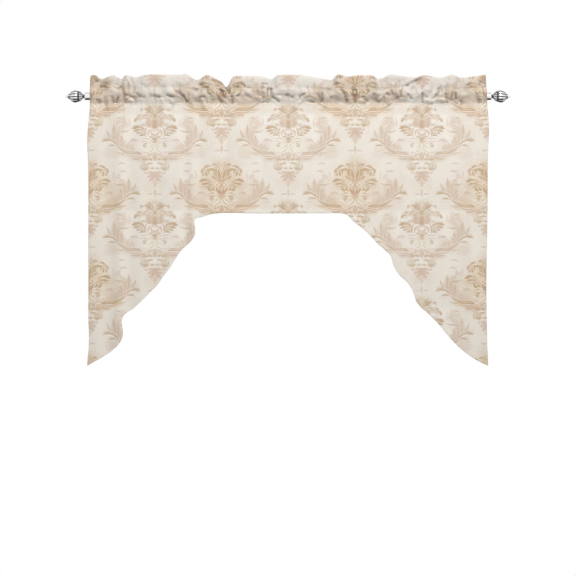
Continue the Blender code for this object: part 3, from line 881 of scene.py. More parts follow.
# The layers that the second bloom has in place of the first one's.
SECOND_SHAPES = {
    "crown": (
        # kind, u0, w0, u1, w1, bow, half, tone0, tone1
        ("smudge", 0, 62, 0, 118, 0, 28, 0.7, 0.65),
        ("smudge", 20, 88, 60, 94, 8, 13, 0.6, 0.5),
        ("petal", 4, 106, 13, 124, 2, 6.5, 0.6, 0.6),
        ("smudge", 12, 116, 15, 120, 0, 3.5, 0.85, 0.85),
        ("petal", 12, 105, 30, 117, 4, 6.5, 0.65, 0.7),
        ("smudge", 22, 113, 28, 115, 0, 3.5, 0.9, 0.85),
        ("line", 3, 106, 9, 122, 1, 1.3, -0.1, 0.0),
        ("line", 10, 104, 34, 112, 3, 1.3, 0.0, 0.0),
        ("leaf", 24, 100, 60, 99, 11, 5.5, 0.65, 0.75),
        ("petal", 51, 105, 61, 86, 5, 4.5, 0.65, 0.85),
        ("smudge", 42, 109, 54, 104, 2, 3.0, 0.85, 0.85),
        ("line", 16, 100, 54, 98, 8, 2.2, -0.05, -0.15),
        ("line", 12, 92, 50, 92, 9, 2.8, 0.85, 0.95),
        ("smudge", 25, 86, 38, 85, 3, 7, -0.15, -0.1),
        ("line", 30, 80, 34, 92, 2, 1.2, 0.45, 0.4),
        ("leaf", 47, 98, 43, 76, 3, 3.8, 0.7, 0.9),
        ("leaf", 54, 93, 51, 75, 4, 3.4, 0.6, 0.85),
        ("smudge", 60, 84, 61, 78, 0, 3.0, 0.4, 0.35),
        ("line", 30, 75, 68, 77, 2, 2.6, 0.1, -0.1),
        ("leaf", 16, 66, 34, 79, 4, 5, 0.65, 0.6),
        ("line", 12, 62, 14, 98, 2, 1.2, 0.1, 0.1),
        ("smudge", 0, 64, 0, 86, 0, 9, 1.0, 0.8),
        ("leaf", 2, 68, 10, 104, -2, 4.5, 1.0, 0.7),
        ("line", 0, 88, 3, 116, -1, 1.8, 0.1, -0.1),
    ),
    "side leaves": (
        ("smudge", 30, 50, 64, 58, 4, 12, 0.65, 0.65),
        ("leaf", 30, 58, 74, 62, 5, 7, 0.75, 0.85),
        ("smudge", 48, 68, 66, 66, 1, 4, 0.95, 0.95),
        ("line", 36, 60, 62, 60, 3, 2.0, -0.1, 0.0),
        ("leaf", 30, 52, 68, 53, 4, 4.6, 0.75, 0.85),
        ("line", 36, 50, 54, 50, 2, 1.8, -0.1, 0.0),
        ("leaf", 28, 44, 54, 45, 3, 3.8, 0.75, 0.8),
        ("line", 20, 28, 50, 35, 6, 1.9, -0.3, -0.3),
    ),
    "bud": (
        ("smudge", 0, 24, 0, 62, 0, 20, 0.5, 0.5),
        ("smudge", 20, 44, 36, 44, 0, 10, 0.4, 0.4),
        ("smudge", 0, 44, 0, 58, 0, 13, 0.75, 0.7),
        ("line", 0, 45, 18, 62, 0, 1.7, -0.1, -0.1),
        ("line", 11, 42, 26, 56, 0, 1.7, -0.1, -0.1),
        ("line", 0, 59, 17, 43, 0, 1.7, -0.1, -0.1),
        ("line", 9, 63, 25, 48, 0, 1.7, -0.1, -0.1),
        ("leaf", 24, 31, 46, 46, -2, 4.6, 0.7, 0.9),
        ("leaf", 18, 29, 31, 47, -1, 4.0, 0.75, 0.8),
        ("leaf", 10, 26, 17, 46, 0, 3.8, 0.95, 0.8),
        ("leaf", 3, 26, 7, 44, 0, 3.4, 0.95, 0.8),
        ("smudge", 0, 34, 0, 41, 0, 2.0, 0.05, 0.1),
        ("smudge", 0, 6, 0, 30, 0, 9, 0.4, 0.65),
        ("smudge", 0, 27, 14, 32, 0, 5, 0.85, 0.85),
        ("line", 12, 24, 34, 32, 3, 1.9, -0.4, -0.3),
        ("line", 20, 25, 36, 26, 1, 2.0, 0.7, 0.85),
        ("line", 10, 20, 38, 21, 3, 1.7, -0.4, -0.4),
        ("line", 20, 16, 38, 17, 1, 1.8, 0.6, 0.7),
        ("smudge", 12, 12, 22, 13, 0, 2.4, -0.3, -0.3),
    ),
}


def smooth_through(places, table, column):
    """Values of one column of a table at the given places, on a smooth curve that never overshoots a row."""
    rows = np.array(table, float)
    x, y = rows[:, 0] * MM, rows[:, column]
    step, slope = np.diff(x), np.diff(y) / np.diff(x)
    rising = slope[:-1] * slope[1:] > 0
    before, after = 2 * step[1:] + step[:-1], step[1:] + 2 * step[:-1]
    safe = [np.where(rising, slope[k : len(slope) - 1 + k], 1.0) for k in (0, 1)]
    inner = np.where(rising, (before + after) / (before / safe[0] + after / safe[1]), 0.0)
    tangent = np.concatenate([[slope[0]], inner, [slope[-1]]])
    k = np.clip(np.searchsorted(x, places) - 1, 0, len(step) - 1)
    t = (places - x[k]) / step[k]
    value = (1 + 2 * t) * (1 - t) ** 2 * y[k] + t * (1 - t) ** 2 * step[k] * tangent[k]
    return value + t * t * (3 - 2 * t) * y[k + 1] + t * t * (t - 1) * step[k] * tangent[k + 1]


def hem_line(x):
    """How high the lower edge lies at each place along the rod."""
    return smooth_through(x, HEM, 1) * MM


def column_places():
    """Where the sheet's columns stand: evenly along the rod, closer where the hem runs steeply."""
    fine = np.linspace(-HALF_WIDTH, HALF_WIDTH, LINE_SAMPLES)
    closeness = np.sqrt(1 + (STEEPNESS_COUNTS * np.gradient(hem_line(fine), fine)) ** 2)
    length = np.concatenate([[0], np.cumsum((closeness[1:] + closeness[:-1]) / 2 * np.diff(fine))])
    count = round(2 * HALF_WIDTH / COLUMN_STEP)
    places = np.interp(np.linspace(0, length[-1], count + 1), length, fine)
    side = np.array(HEM_ROWS) * MM
    inner = places[np.abs(places) < HALF_WIDTH - side[-1] - COLUMN_STEP / 2]
    return np.concatenate([side - HALF_WIDTH, inner, HALF_WIDTH - side[::-1]])


def hem_offset(x, distance):
    """The line that runs this far inside the hem, and how far along the hem each of its points lies."""
    fine = np.linspace(-HALF_WIDTH, HALF_WIDTH, LINE_SAMPLES)
    hem = hem_line(fine)
    along = np.concatenate([[0], np.cumsum(np.hypot(np.diff(fine), np.diff(hem)))])
    if distance == 0:
        return hem_line(x), np.interp(x, fine, along)
    reach = distance**2 - (x[:, None] - fine[None]) ** 2
    height = np.where(reach >= 0, hem + np.sqrt(np.maximum(reach, 0)), -np.inf)
    best = height.argmax(axis=1)
    return height[np.arange(len(x)), best], along[best]


def swing(x, z):
    """How far the sheet is pushed along X at this place."""
    push = np.zeros_like(z)
    for at_x, at_z, amount, reach in SWINGS:
        away = ((x - at_x * MM) ** 2 + (z - at_z * MM) ** 2) / (reach * MM) ** 2
        push += amount * MM * np.exp(-away)
    return push


def fold_depth(x, rise):
    """How far back the hanging cloth lies, from its hem (rise 0) to the pocket (rise 1)."""
    depth = np.zeros(np.broadcast(x, rise).shape)
    for at, width, at_pocket, at_hem in FOLDS:
        shape = np.exp(-(((x - at * MM) / (width * MM)) ** 2))
        depth += shape * (at_hem + (at_pocket - at_hem) * rise) * MM
    return depth


def crease_relief(x, z):
    """How far the creases bring the cloth forward at each place."""
    forward = np.zeros(np.broadcast(x, z).shape)
    for x0, z0, x1, z1, width, depth in CREASES:
        run_x, run_z = (x1 - x0) * MM, (z1 - z0) * MM
        share = ((x - x0 * MM) * run_x + (z - z0 * MM) * run_z) / (run_x**2 + run_z**2)
        share = np.clip(share, 0, 1)
        away = np.hypot(x - x0 * MM - share * run_x, z - z0 * MM - share * run_z)
        forward += depth * MM * np.exp(-((away / (width * MM)) ** 2))
    return forward


def puckers(x, away, reach, depth):
    """Small uneven gathers beside a line of stitching, which die away from it."""
    chance = np.random.default_rng(PUCKER_SEED)
    wave = np.zeros_like(x)
    for length in PUCKER_LENGTHS:
        turn = 2 * math.pi * (x / (length * MM) + chance.random())
        wave += np.sin(turn) * (length / FULL_PUCKER) ** PUCKER_GROWTH
    return depth * wave / PUCKER_SUM * np.exp(-np.abs(away) / reach)


def heading(x):
    """The heading at each column: how high its lines stand, how far back they lie, its pinch and its puff."""
    top, pinch, puff, sway = (smooth_through(x, GATHERS, column) for column in range(1, 5))
    top, puff, sway = top * MM, np.maximum(puff, 0) * MM, sway * MM
    pinch = np.clip(pinch, 0, 1)
    seam = SEAM_SHARE * top
    seam_foot = seam - STITCHED_BAND / 2
    seam_foot += (PINCHED_SEAM - seam_foot) * pinch**PINCH_CURVE
    return {
        "top": top,
        "core": core_radius(x),
        "pinch": pinch,
        "puff": puff,
        "sway": sway,
        "seam_head": seam + STITCHED_BAND / 2,
        "seam_foot": np.maximum(seam_foot, PINCHED_SEAM),
        "seam_y": SEAM_FOLLOWS * sway - SEAM_FORWARD - SEAM_PUFFS * puff,
        "foot": POCKET_FOOT + FOOT_SINKS * sway,
        "foot_y": FOOT_FOLLOWS * sway - FOOT_FORWARD,
    }


def thicken(inner, thickness, side):
    """The outer face of the layer on this side of the rod, one thickness outside its inner face."""
    along = np.gradient(inner, axis=0)
    length = np.linalg.norm(along, axis=2, keepdims=True)
    normal = np.stack([-along[..., 1], along[..., 0]], axis=2) / length
    return inner - side * thickness[None, :, None] * normal


def core_radius(x):
    """The radius of what the pocket lies round: the rod, or a collar near either end."""
    ramp = (COLLAR_MOUTH - COLLAR_APPROACH[0], COLLAR_MOUTH - COLLAR_APPROACH[1])
    return np.interp(np.abs(x), ramp, (ROD_RADIUS, COLLAR_RADIUS))


def clear_of_core(rows, core):
    """The same rows of (y, z), pushed out where they would lie in the rod or a collar."""
    reach = np.maximum(np.linalg.norm(rows, axis=2), NEAREST)
    return rows * np.maximum((core + REST_GAP) / reach, 1)[..., None]


def pocket_layer(lines, side):
    """The inner face of one pocket layer, up from the lower stitching over its crest to the seam: rows of
    (y, z). Side -1 is the front, and 1 the back."""
    puff = PUFF_FRONT if side < 0 else PUFF_BACK
    bulge = lines["core"] + POCKET_ROOM + lines["puff"] * puff
    rounding = LOOSE_ROUNDING + (PINCHED_ROUNDING - LOOSE_ROUNDING) * lines["pinch"]
    crest = POCKET_CREST * (1 - lines["pinch"])
    rows = []
    for share in np.linspace(0, 1, POCKET_ROWS + 1)[:-1]:
        out = math.sin(share * math.pi / 2) ** UNDER_ROUNDING
        y = side * bulge * out + lines["foot_y"] * (1 - out)
        rows.append((y, lines["foot"] + (crest - lines["foot"]) * share))
    for share in np.linspace(0, 1, POCKET_ROWS + 1):
        out = (1 - share**2) ** rounding
        y = side * bulge * out + lines["seam_y"] * (1 - out)
        rows.append((y, crest + (lines["seam_foot"] - crest) * share))
    return np.array([np.stack(row, axis=1) for row in rows])


def frill_layer(lines, side):
    """The inner face of one frill layer, upwards from the seam to the fold at the top."""
    height = lines["top"] - CLOTH - lines["seam_head"]
    open_by = FRILL_LOOSE + (FRILL_PINCHED - FRILL_LOOSE) * lines["pinch"]
    rows = []
    for share in np.linspace(0, 1, FRILL_ROWS + 1):
        share = share * (FRILL_FIRST_STEP + (1 - FRILL_FIRST_STEP) * share)
        lean = lines["seam_y"] + (lines["sway"] - lines["seam_y"]) * share**LEAN_CURVE
        closed = max(0.0, (share - FRILL_CLOSES) / (1 - FRILL_CLOSES))
        opening = math.sin(math.pi / 2 * min(share / FRILL_CLOSES, 1)) * math.sqrt(1 - closed**2)
        rows.append(np.stack([lean + side * open_by * opening, lines["seam_head"] + height * share], axis=1))
    return np.array(rows)


def drop_rows(x, lines):
    """The hanging cloth from the hem up to the lower stitching: its levels, and the hem distance and run."""
    foot = lines["foot"] - STITCHED_BAND
    levels, away, along = [], [], []
    for distance in HEM_ROWS:
        level, run = hem_offset(x, distance * MM)
        levels.append(level)
        along.append(run)
        away.append(np.full_like(x, distance * MM))
    hemmed, near = levels[-1], foot - NEAR_POCKET
    for share in np.linspace(0, 1, DROP_ROWS + 1)[1:]:
        levels.append(hemmed + (near - hemmed) * share)
    for share in np.linspace(0, 1, NEAR_ROWS + 1)[1:-1]:
        levels.append(near + (foot - near) * share)
    levels = np.array(levels)
    far = np.ones((len(levels) - len(away), len(x)))
    run = np.repeat(along[-1][None], len(levels) - len(along), axis=0)
    return levels, np.concatenate([away, far]), np.concatenate([along, run])


def hung_depth(x, z, lines):
    """How far back the hanging cloth lies."""
    hem = hem_line(x)
    below = lines["foot"] - z
    rise = np.clip((z - hem) / (lines["foot"] - STITCHED_BAND - hem), 0, 1)
    depth = lines["foot_y"] * np.exp(-below / FOOT_REACH)
    depth += fold_depth(x, rise) * (1 - np.exp(-below / FOLD_REACH))
    return depth - crease_relief(x, z) - puckers(x, below, *FOOT_PUCKERS)


def hem_extra(gap):
    """How much thicker than plain cloth the sheet is, this far in from a cut edge."""
    rolled = np.clip((HEM_WIDTH - gap) / HEM_EASE, 0, 1)
    rounded = np.clip(EDGE_SHARE + gap / EDGE_ROUND, 0, 1)
    return (HEM_CLOTH - CLOTH) * rolled * rounded


def hung_faces(x, lines, side_gap):
    """The inner and outer face of the hanging cloth, and where its points lie from the hem and along it."""
    levels, away, along = drop_rows(x, lines)
    extra = hem_extra(np.minimum(away, side_gap)) / 2
    depth = hung_depth(x, levels, lines)
    inner = np.stack([depth + extra, levels], axis=2)
    outer = np.stack([depth - CLOTH - extra, levels], axis=2)
    return inner, outer, {"away": away, "along": along}


def pocket_push(x, level, lines, side, foot_push, seam_push):
    """How far the creases and puckers bring one pocket layer forward, between the lines of its stitching."""
    rise = (level - lines["foot"]) / (lines["seam_foot"] - lines["foot"])
    middle = 4 * rise * (1 - rise)
    if side < 0:
        push = crease_relief(x, level)
        push += puckers(x, level - lines["foot"], *POCKET_PUCKERS)
        push += puckers(x, level - lines["seam_foot"], *SEAM_PUCKERS)
        push -= middle * puckers(x, lines["seam_foot"] - lines["foot"], *POCKET_PUCKERS)
    else:
        push = foot_push * (1 - rise) + seam_push * rise
        push += middle * puckers(x + BACK_SHIFT, 0 * x, *SEAM_PUCKERS)
    push[0], push[-1] = foot_push, seam_push
    return push


def heading_faces(x, lines, side, thickness):
    """One layer of the heading, upwards from the lower stitching: its inner and outer face, and its end."""
    foot_level = lines["foot"] - STITCHED_BAND
    foot_push = crease_relief(x, foot_level) + puckers(x, 0 * x, *FOOT_PUCKERS)
    seam_push = crease_relief(x, lines["seam_foot"]) + puckers(x, 0 * x, *SEAM_PUCKERS)
    foot = np.stack([lines["foot_y"] - foot_push, foot_level], axis=1)
    pocket = pocket_layer(lines, side)
    pocket[..., 0] -= pocket_push(x, pocket[..., 1], lines, side, foot_push, seam_push)
    pocket = clear_of_core(pocket, lines["core"])
    frill = frill_layer(lines, side)
    push = crease_relief(x, frill[..., 1])
    push += puckers(x, frill[..., 1] - lines["seam_head"], *FRILL_PUCKERS)
    push[0] = seam_push
    frill[..., 0] -= push
    outer_pocket = thicken(pocket, thickness, side)
    outer_frill = thicken(frill, thickness, side)
    flat = np.stack([side * thickness, 0 * thickness], axis=1)
    outer_pocket[0], outer_pocket[-1] = pocket[0] + flat, pocket[-1] + flat
    outer_frill[0] = frill[0] + flat
    inner = np.concatenate([foot[None], pocket, frill[:-1]])
    outer = np.concatenate([(foot + flat)[None], outer_pocket, outer_frill[:-1]])
    return inner, outer, frill[-1]


def drape_rows(x):
    """The drape's section at each column: the inner and the outer face of one strip that runs from the hem up
    the front, over the top and down the back to the lower stitching. Also what the finish needs to know."""
    lines = heading(x)
    side_gap = HALF_WIDTH - np.abs(x)
    thickness = CLOTH + hem_extra(side_gap)
    inner, outer, hung = hung_faces(x, lines, side_gap)
    front_inner, front_outer, front_top = heading_faces(x, lines, -1, thickness)
    back_inner, back_outer, back_top = heading_faces(x, lines, 1, thickness)
    tip = (front_top + back_top) / 2
    apex = tip + np.stack([0 * thickness, thickness], axis=1)
    inner = np.concatenate([inner, front_inner, tip[None], back_inner[::-1]])
    outer = np.concatenate([outer, front_outer, apex[None], back_outer[::-1]])
    return inner, outer, lines, hung


def finish_places(x, level, reverse, top_row, lines, hung):
    """What the finish reads at the points of one face. cloth: the place on the flat cloth, and whether this
    is the reverse. edge: the gap to the nearest cut edge, the run along it, and the gap to the heading's
    stitching. shade: how much painted shade it has in the depth of a crease, and how much painted shade it
    has over the heading."""
    printed = level.copy()
    printed[top_row + 1 :] = 2 * lines["top"] - level[top_row + 1 :]
    away, along = np.ones_like(level), np.zeros_like(level)
    rows = len(hung["away"])
    away[:rows], along[:rows] = hung["away"], hung["along"]
    side_gap = HALF_WIDTH - np.abs(x) + 0 * level
    along = np.where(side_gap < away, level, along)
    foot_gap = np.abs(level - lines["foot"] + STITCHED_BAND / 2)
    seam_gap = np.abs(level - lines["seam_head"] + STITCHED_BAND / 2)
    # Painted shade in the depth of each crease, none on the heading's back layer.
    crease_shade = np.clip(-crease_relief(x, level) / CREASE_DEPTH, 0, 1) ** CREASE_SHADE_CURVE
    crease_shade[top_row + 1 :] = 0
    # Painted shade over the heading: it sets in above the pocket's foot and is deepest where the heading is
    # pinched.
    heading_shade = np.clip((level - lines["foot"]) / HEADING_SHADE_FADE, 0, 1)
    heading_shade *= LOOSE_SHADE + (1 - LOOSE_SHADE) * lines["pinch"]
    return {
        "cloth": np.stack([x + 0 * level, printed, np.full_like(level, reverse)], axis=2),
        "edge": np.stack([np.minimum(away, side_gap), along, np.minimum(foot_gap, seam_gap)], axis=2),
        "shade": np.stack([crease_shade, heading_shade, 0 * crease_shade], axis=2),
    }


def ribbon(a, b, turned=False):
    """The quads between two lines of points; turned faces the other way."""
    corners = [a[:-1], b[:-1], b[1:], a[1:]] if turned else [a[:-1], a[1:], b[1:], b[:-1]]
    return np.stack(corners, axis=1)


def drape_mesh():
    """The whole drape as one closed sheet, whose layers share their middle line where they are stitched."""
    x = column_places()
    inner, outer, lines, hung = drape_rows(x)
    count, columns = outer.shape[:2]
    foot = len(hung["away"])
    seam = foot + 2 * POCKET_ROWS + 1
    stitched = {foot, foot + 1, seam, seam + 1}
    top_row = foot + (count - foot) // 2
    behind = {row: count - 1 - (row - foot) for row in range(foot, count)}

    place = np.arange(count * columns).reshape(count, columns)
    inner_place = place + count * columns
    for row in range(top_row, count):
        if behind[row] in stitched:
            inner_place[row] = inner_place[behind[row]]

    points, attributes = [], {"cloth": [], "edge": [], "shade": []}
    for rows, reverse in ((outer, 0.0), (inner, 1.0)):
        level = rows[..., 1]
        points.append(np.stack([x + swing(x, level), rows[..., 0], level], axis=2).reshape(-1, 3))
        for label, values in finish_places(x, level, reverse, top_row, lines, hung).items():
            attributes[label].append(values.reshape(-1, 3))
    attributes = {label: np.concatenate(parts) for label, parts in attributes.items()}

    quads = []
    for row in range(count - 1):
        quads.append(ribbon(place[row], place[row + 1]))
        pair = {row, row + 1}
        back_pair = {behind.get(k) for k in pair}
        if not (pair <= stitched or back_pair <= stitched):
            quads.append(ribbon(inner_place[row], inner_place[row + 1], turned=True))
    for row in (0, count - 1):
        quads.append(ribbon(place[row], inner_place[row], turned=True))
    for column in (0, columns - 1):
        quads.append(ribbon(place[:, column], inner_place[:, column]))
    return np.concatenate(points), np.concatenate(quads), attributes


def mesh_object(name, points, faces, attributes, finish):
    """A smooth closed mesh object whose faces point out, with its vector attributes and its finish."""
    mesh = bpy.data.meshes.new(name)
    mesh.from_pydata(points.tolist(), [], [list(map(int, face)) for face in faces])
    for label, values in attributes.items():
        kept = mesh.attributes.new(label, "FLOAT_VECTOR", "POINT")
        kept.data.foreach_set("vector", values.astype(np.float32).ravel())
    shape = bmesh.new()
    shape.from_mesh(mesh)
    # Where layers share a line, the points of one of them are left without a face.
    loose = [vertex for vertex in shape.verts if not vertex.link_faces]
    bmesh.ops.delete(shape, geom=loose, context="VERTS")
    bmesh.ops.recalc_face_normals(shape, faces=shape.faces)
    shape.to_mesh(mesh)
    shape.free()
    mesh.shade_smooth()
    mesh.materials.append(finish)
    made = bpy.data.objects.new(name, mesh)
    bpy.context.scene.collection.objects.link(made)
    return made


class Wire:
    """What a shader node gives out. It can stand in a sum, and each operation adds its Math node."""

    def __init__(self, nodes, node, socket):
        self.nodes = nodes
        self.node = node
        self.socket = socket

    def out(self, name):
        """Another output of the same node."""
        return Wire(self.nodes, self.node, self.node.outputs[name])

    def __add__(self, other):
        return self.nodes.maths("ADD", self, other)

    def __sub__(self, other):
        return self.nodes.maths("SUBTRACT", self, other)

    def __rsub__(self, other):
        return self.nodes.maths("SUBTRACT", other, self)

    def __mul__(self, other):
        return self.nodes.maths("MULTIPLY", self, other)

    def __mod__(self, other):
        return self.nodes.maths("FLOORED_MODULO", self, other)

    def __lt__(self, other):
        return self.nodes.maths("LESS_THAN", self, other)

    def __gt__(self, other):
        return self.nodes.maths("GREATER_THAN", self, other)

    def __abs__(self):
        return self.nodes.maths("ABSOLUTE", self)

    __radd__ = __add__
    __rmul__ = __mul__

    def scaled(self, factor, more, clamp=False):
        """factor * self + more, in one node."""
        return self.nodes.maths("MULTIPLY_ADD", self, factor, more, clamp=clamp)


class Nodes:
    """A tree of shader nodes."""

    def __init__(self, tree):
        self.tree = tree

    def put(self, socket, value):
        """Links a wire to a socket, or sets its value."""
        if isinstance(value, Wire):
            self.tree.links.new(value.socket, socket)
        else:
            socket.default_value = value

    def node(self, kind, settings, inputs, output=0):
        """A node of this kind: its settings are made first, and then the values or links of its sockets."""
        made = self.tree.nodes.new(kind if kind.startswith("Node") else "ShaderNode" + kind)
        for name, value in settings.items():
            if name == "stops":
                self.set_stops(made.color_ramp, value)
            else:
                setattr(made, name, value)
        for name, value in inputs.items():
            self.put(made.inputs[name], value)
        return Wire(self, made, made.outputs[output] if made.outputs else None)

    def set_stops(self, ramp, stops):
        """Gives a ramp these (place, colour) stops."""
        while len(ramp.elements) < len(stops):
            ramp.elements.new(1.0)
        for element, (place, tone) in zip(ramp.elements, stops):
            element.position = place
            element.color = opaque(tone)

    def maths(self, operation, *values, clamp=False):
        """A Math node on these values."""
        settings = {"operation": operation, "use_clamp": clamp}
        return self.node("Math", settings, dict(enumerate(values)))

    def mix(self, share, first, second):
        """The share-weighted mix of two colours."""
        inputs = {"Factor": share, 6: first, 7: second}
        return self.node("Mix", {"data_type": "RGBA"}, inputs, output=2)

    def blend(self, share, first, second):
        """The share-weighted mix of two numbers."""
        return self.node("Mix", {"data_type": "FLOAT"}, {0: share, 2: first, 3: second})

    def tint(self, dyed, cast):
        """One colour multiplied by another."""
        return self.node("VectorMath", {"operation": "MULTIPLY"}, {0: dyed, 1: cast})

    def carried(self, name):
        """A vector that the mesh carries."""
        return self.node("Attribute", {"attribute_name": name}, {}, output="Vector")

    def parts(self, vector):
        """A vector taken apart into X, Y and Z."""
        return self.node("SeparateXYZ", {}, {0: vector})


class Finish(Nodes):
    """One material. The settings are constants of its shader's sockets."""

    def __init__(self, name, **settings):
        self.material = bpy.data.materials.new(name)
        self.material.use_nodes = True
        super().__init__(self.material.node_tree)
        self.shader = self.tree.nodes["Principled BSDF"]
        for socket, value in settings.items():
            self.give(socket.replace("_", " "), value)

    def give(self, socket, value):
        """Sets or links one of the shader's sockets."""
        self.put(self.shader.inputs[socket], value)


def colour(red, green, blue):
    """A colour from 8-bit values as seen on a screen, in the linear light that shaders work in."""
    return tuple(
        value / 12.92 if value <= 0.04045 else ((value + 0.055) / 1.055) ** 2.4
        for value in (red / 255, green / 255, blue / 255)
    )


def opaque(tone):
    """The four values of a colour that nothing shows through."""
    return (*tone, 1)


WHITE = opaque((1, 1, 1))
BLACK = opaque((0, 0, 0))
CHROME = opaque(colour(240, 240, 241))
ANTIQUE_AND_SHADE = opaque(colour(44, 44, 45))


class PrintLayer(Nodes):
    """A group of nodes that lays some of the print's shapes over the running tone that it is given."""

    def __init__(self, name):
        super().__init__(bpy.data.node_groups.new(name, "ShaderNodeTree"))
        for socket in ("u", "w", "second", "ink"):
            self.tree.interface.new_socket(socket, in_out="INPUT", socket_type="NodeSocketFloat")
        self.tree.interface.new_socket("ink", in_out="OUTPUT", socket_type="NodeSocketFloat")
        given = self.node("NodeGroupInput", {}, {})
        self.u, self.w, self.second, self.ink = (given.out(name) for name in ("u", "w", "second", "ink"))

    def hand_over(self):
        """Gives the running tone out of the group."""
        self.node("NodeGroupOutput", {}, {"ink": self.ink})

    def soft_spot(self, u, w, reach_u, reach_w):
        """1 at the middle of an ellipse, falling to 0 at its edge."""
        across = self.u.scaled(1 / reach_u, -u / reach_u)
        up = self.w.scaled(1 / reach_w, -w / reach_w)
        far = across.scaled(across, up * up)
        settings = {"interpolation_type": "SMOOTHSTEP", "clamp": False}
        return self.node("MapRange", settings, {0: far, 1: 1.0, 2: 0.0})

    def lay_wash(self, u, w, reach_u, reach_w, first, second):
        """Adds a soft spot of tone, which differs between the first and the second bloom."""
        spot = self.soft_spot(u, w, reach_u, reach_w)
        self.ink = spot.scaled(self.second.scaled(second - first, first), self.ink)

    def lay(self, outside, tone, rim=0, blur=PRINT_BLUR):
        """Lays a shape over what is there. outside is the distance out of its edge, and rim is the width of
        its pale border."""
        cover = outside.scaled(-0.5 / blur, rim * 0.5 / blur + 0.5)
        if rim:
            tone = self.blend(outside.scaled(-0.5 / blur, 0.5), RIM_TONE, tone)
        self.ink = self.blend(cover, self.ink, tone)

    def lay_shape(self, kind, u0, w0, u1, w1, bow, half, tone0, tone1):
        """Lays one shape. t runs along its line from -1 to 1, and across from it in half widths."""
        length = math.hypot(u1 - u0, w1 - w0) / 2
        along_u, along_w = (u1 - u0) / (2 * length), (w1 - w0) / (2 * length)
        middle_u, middle_w = (u0 + u1) / 2, (w0 + w1) / 2
        start = -(middle_u * along_u + middle_w * along_w) / length
        t = self.w.scaled(along_w / length, self.u.scaled(along_u / length, start))
        start = (middle_u * along_w - middle_w * along_u) / half
        y = self.w.scaled(along_u / half, self.u.scaled(-along_w / half, start))
        square = t * t
        full = 1 - square
        width = full if kind in ("leaf", "line") else 1 - square * square
        across = full.scaled(-bow / half, y)
        tone = (tone0 + tone1) / 2
        if tone0 != tone1:
            tone = t.scaled((tone1 - tone0) / 2, tone)
        outside = (abs(across) - width) * half
        if kind in ("leaf", "petal"):
            tone = across.scaled(along_w * LEAF_LIGHT[0] - along_u * LEAF_LIGHT[1], tone)
            self.lay(outside, tone, rim=LEAF_RIM)
        else:
            self.lay(outside, tone, blur=SMUDGE_BLUR if kind == "smudge" else PRINT_BLUR)


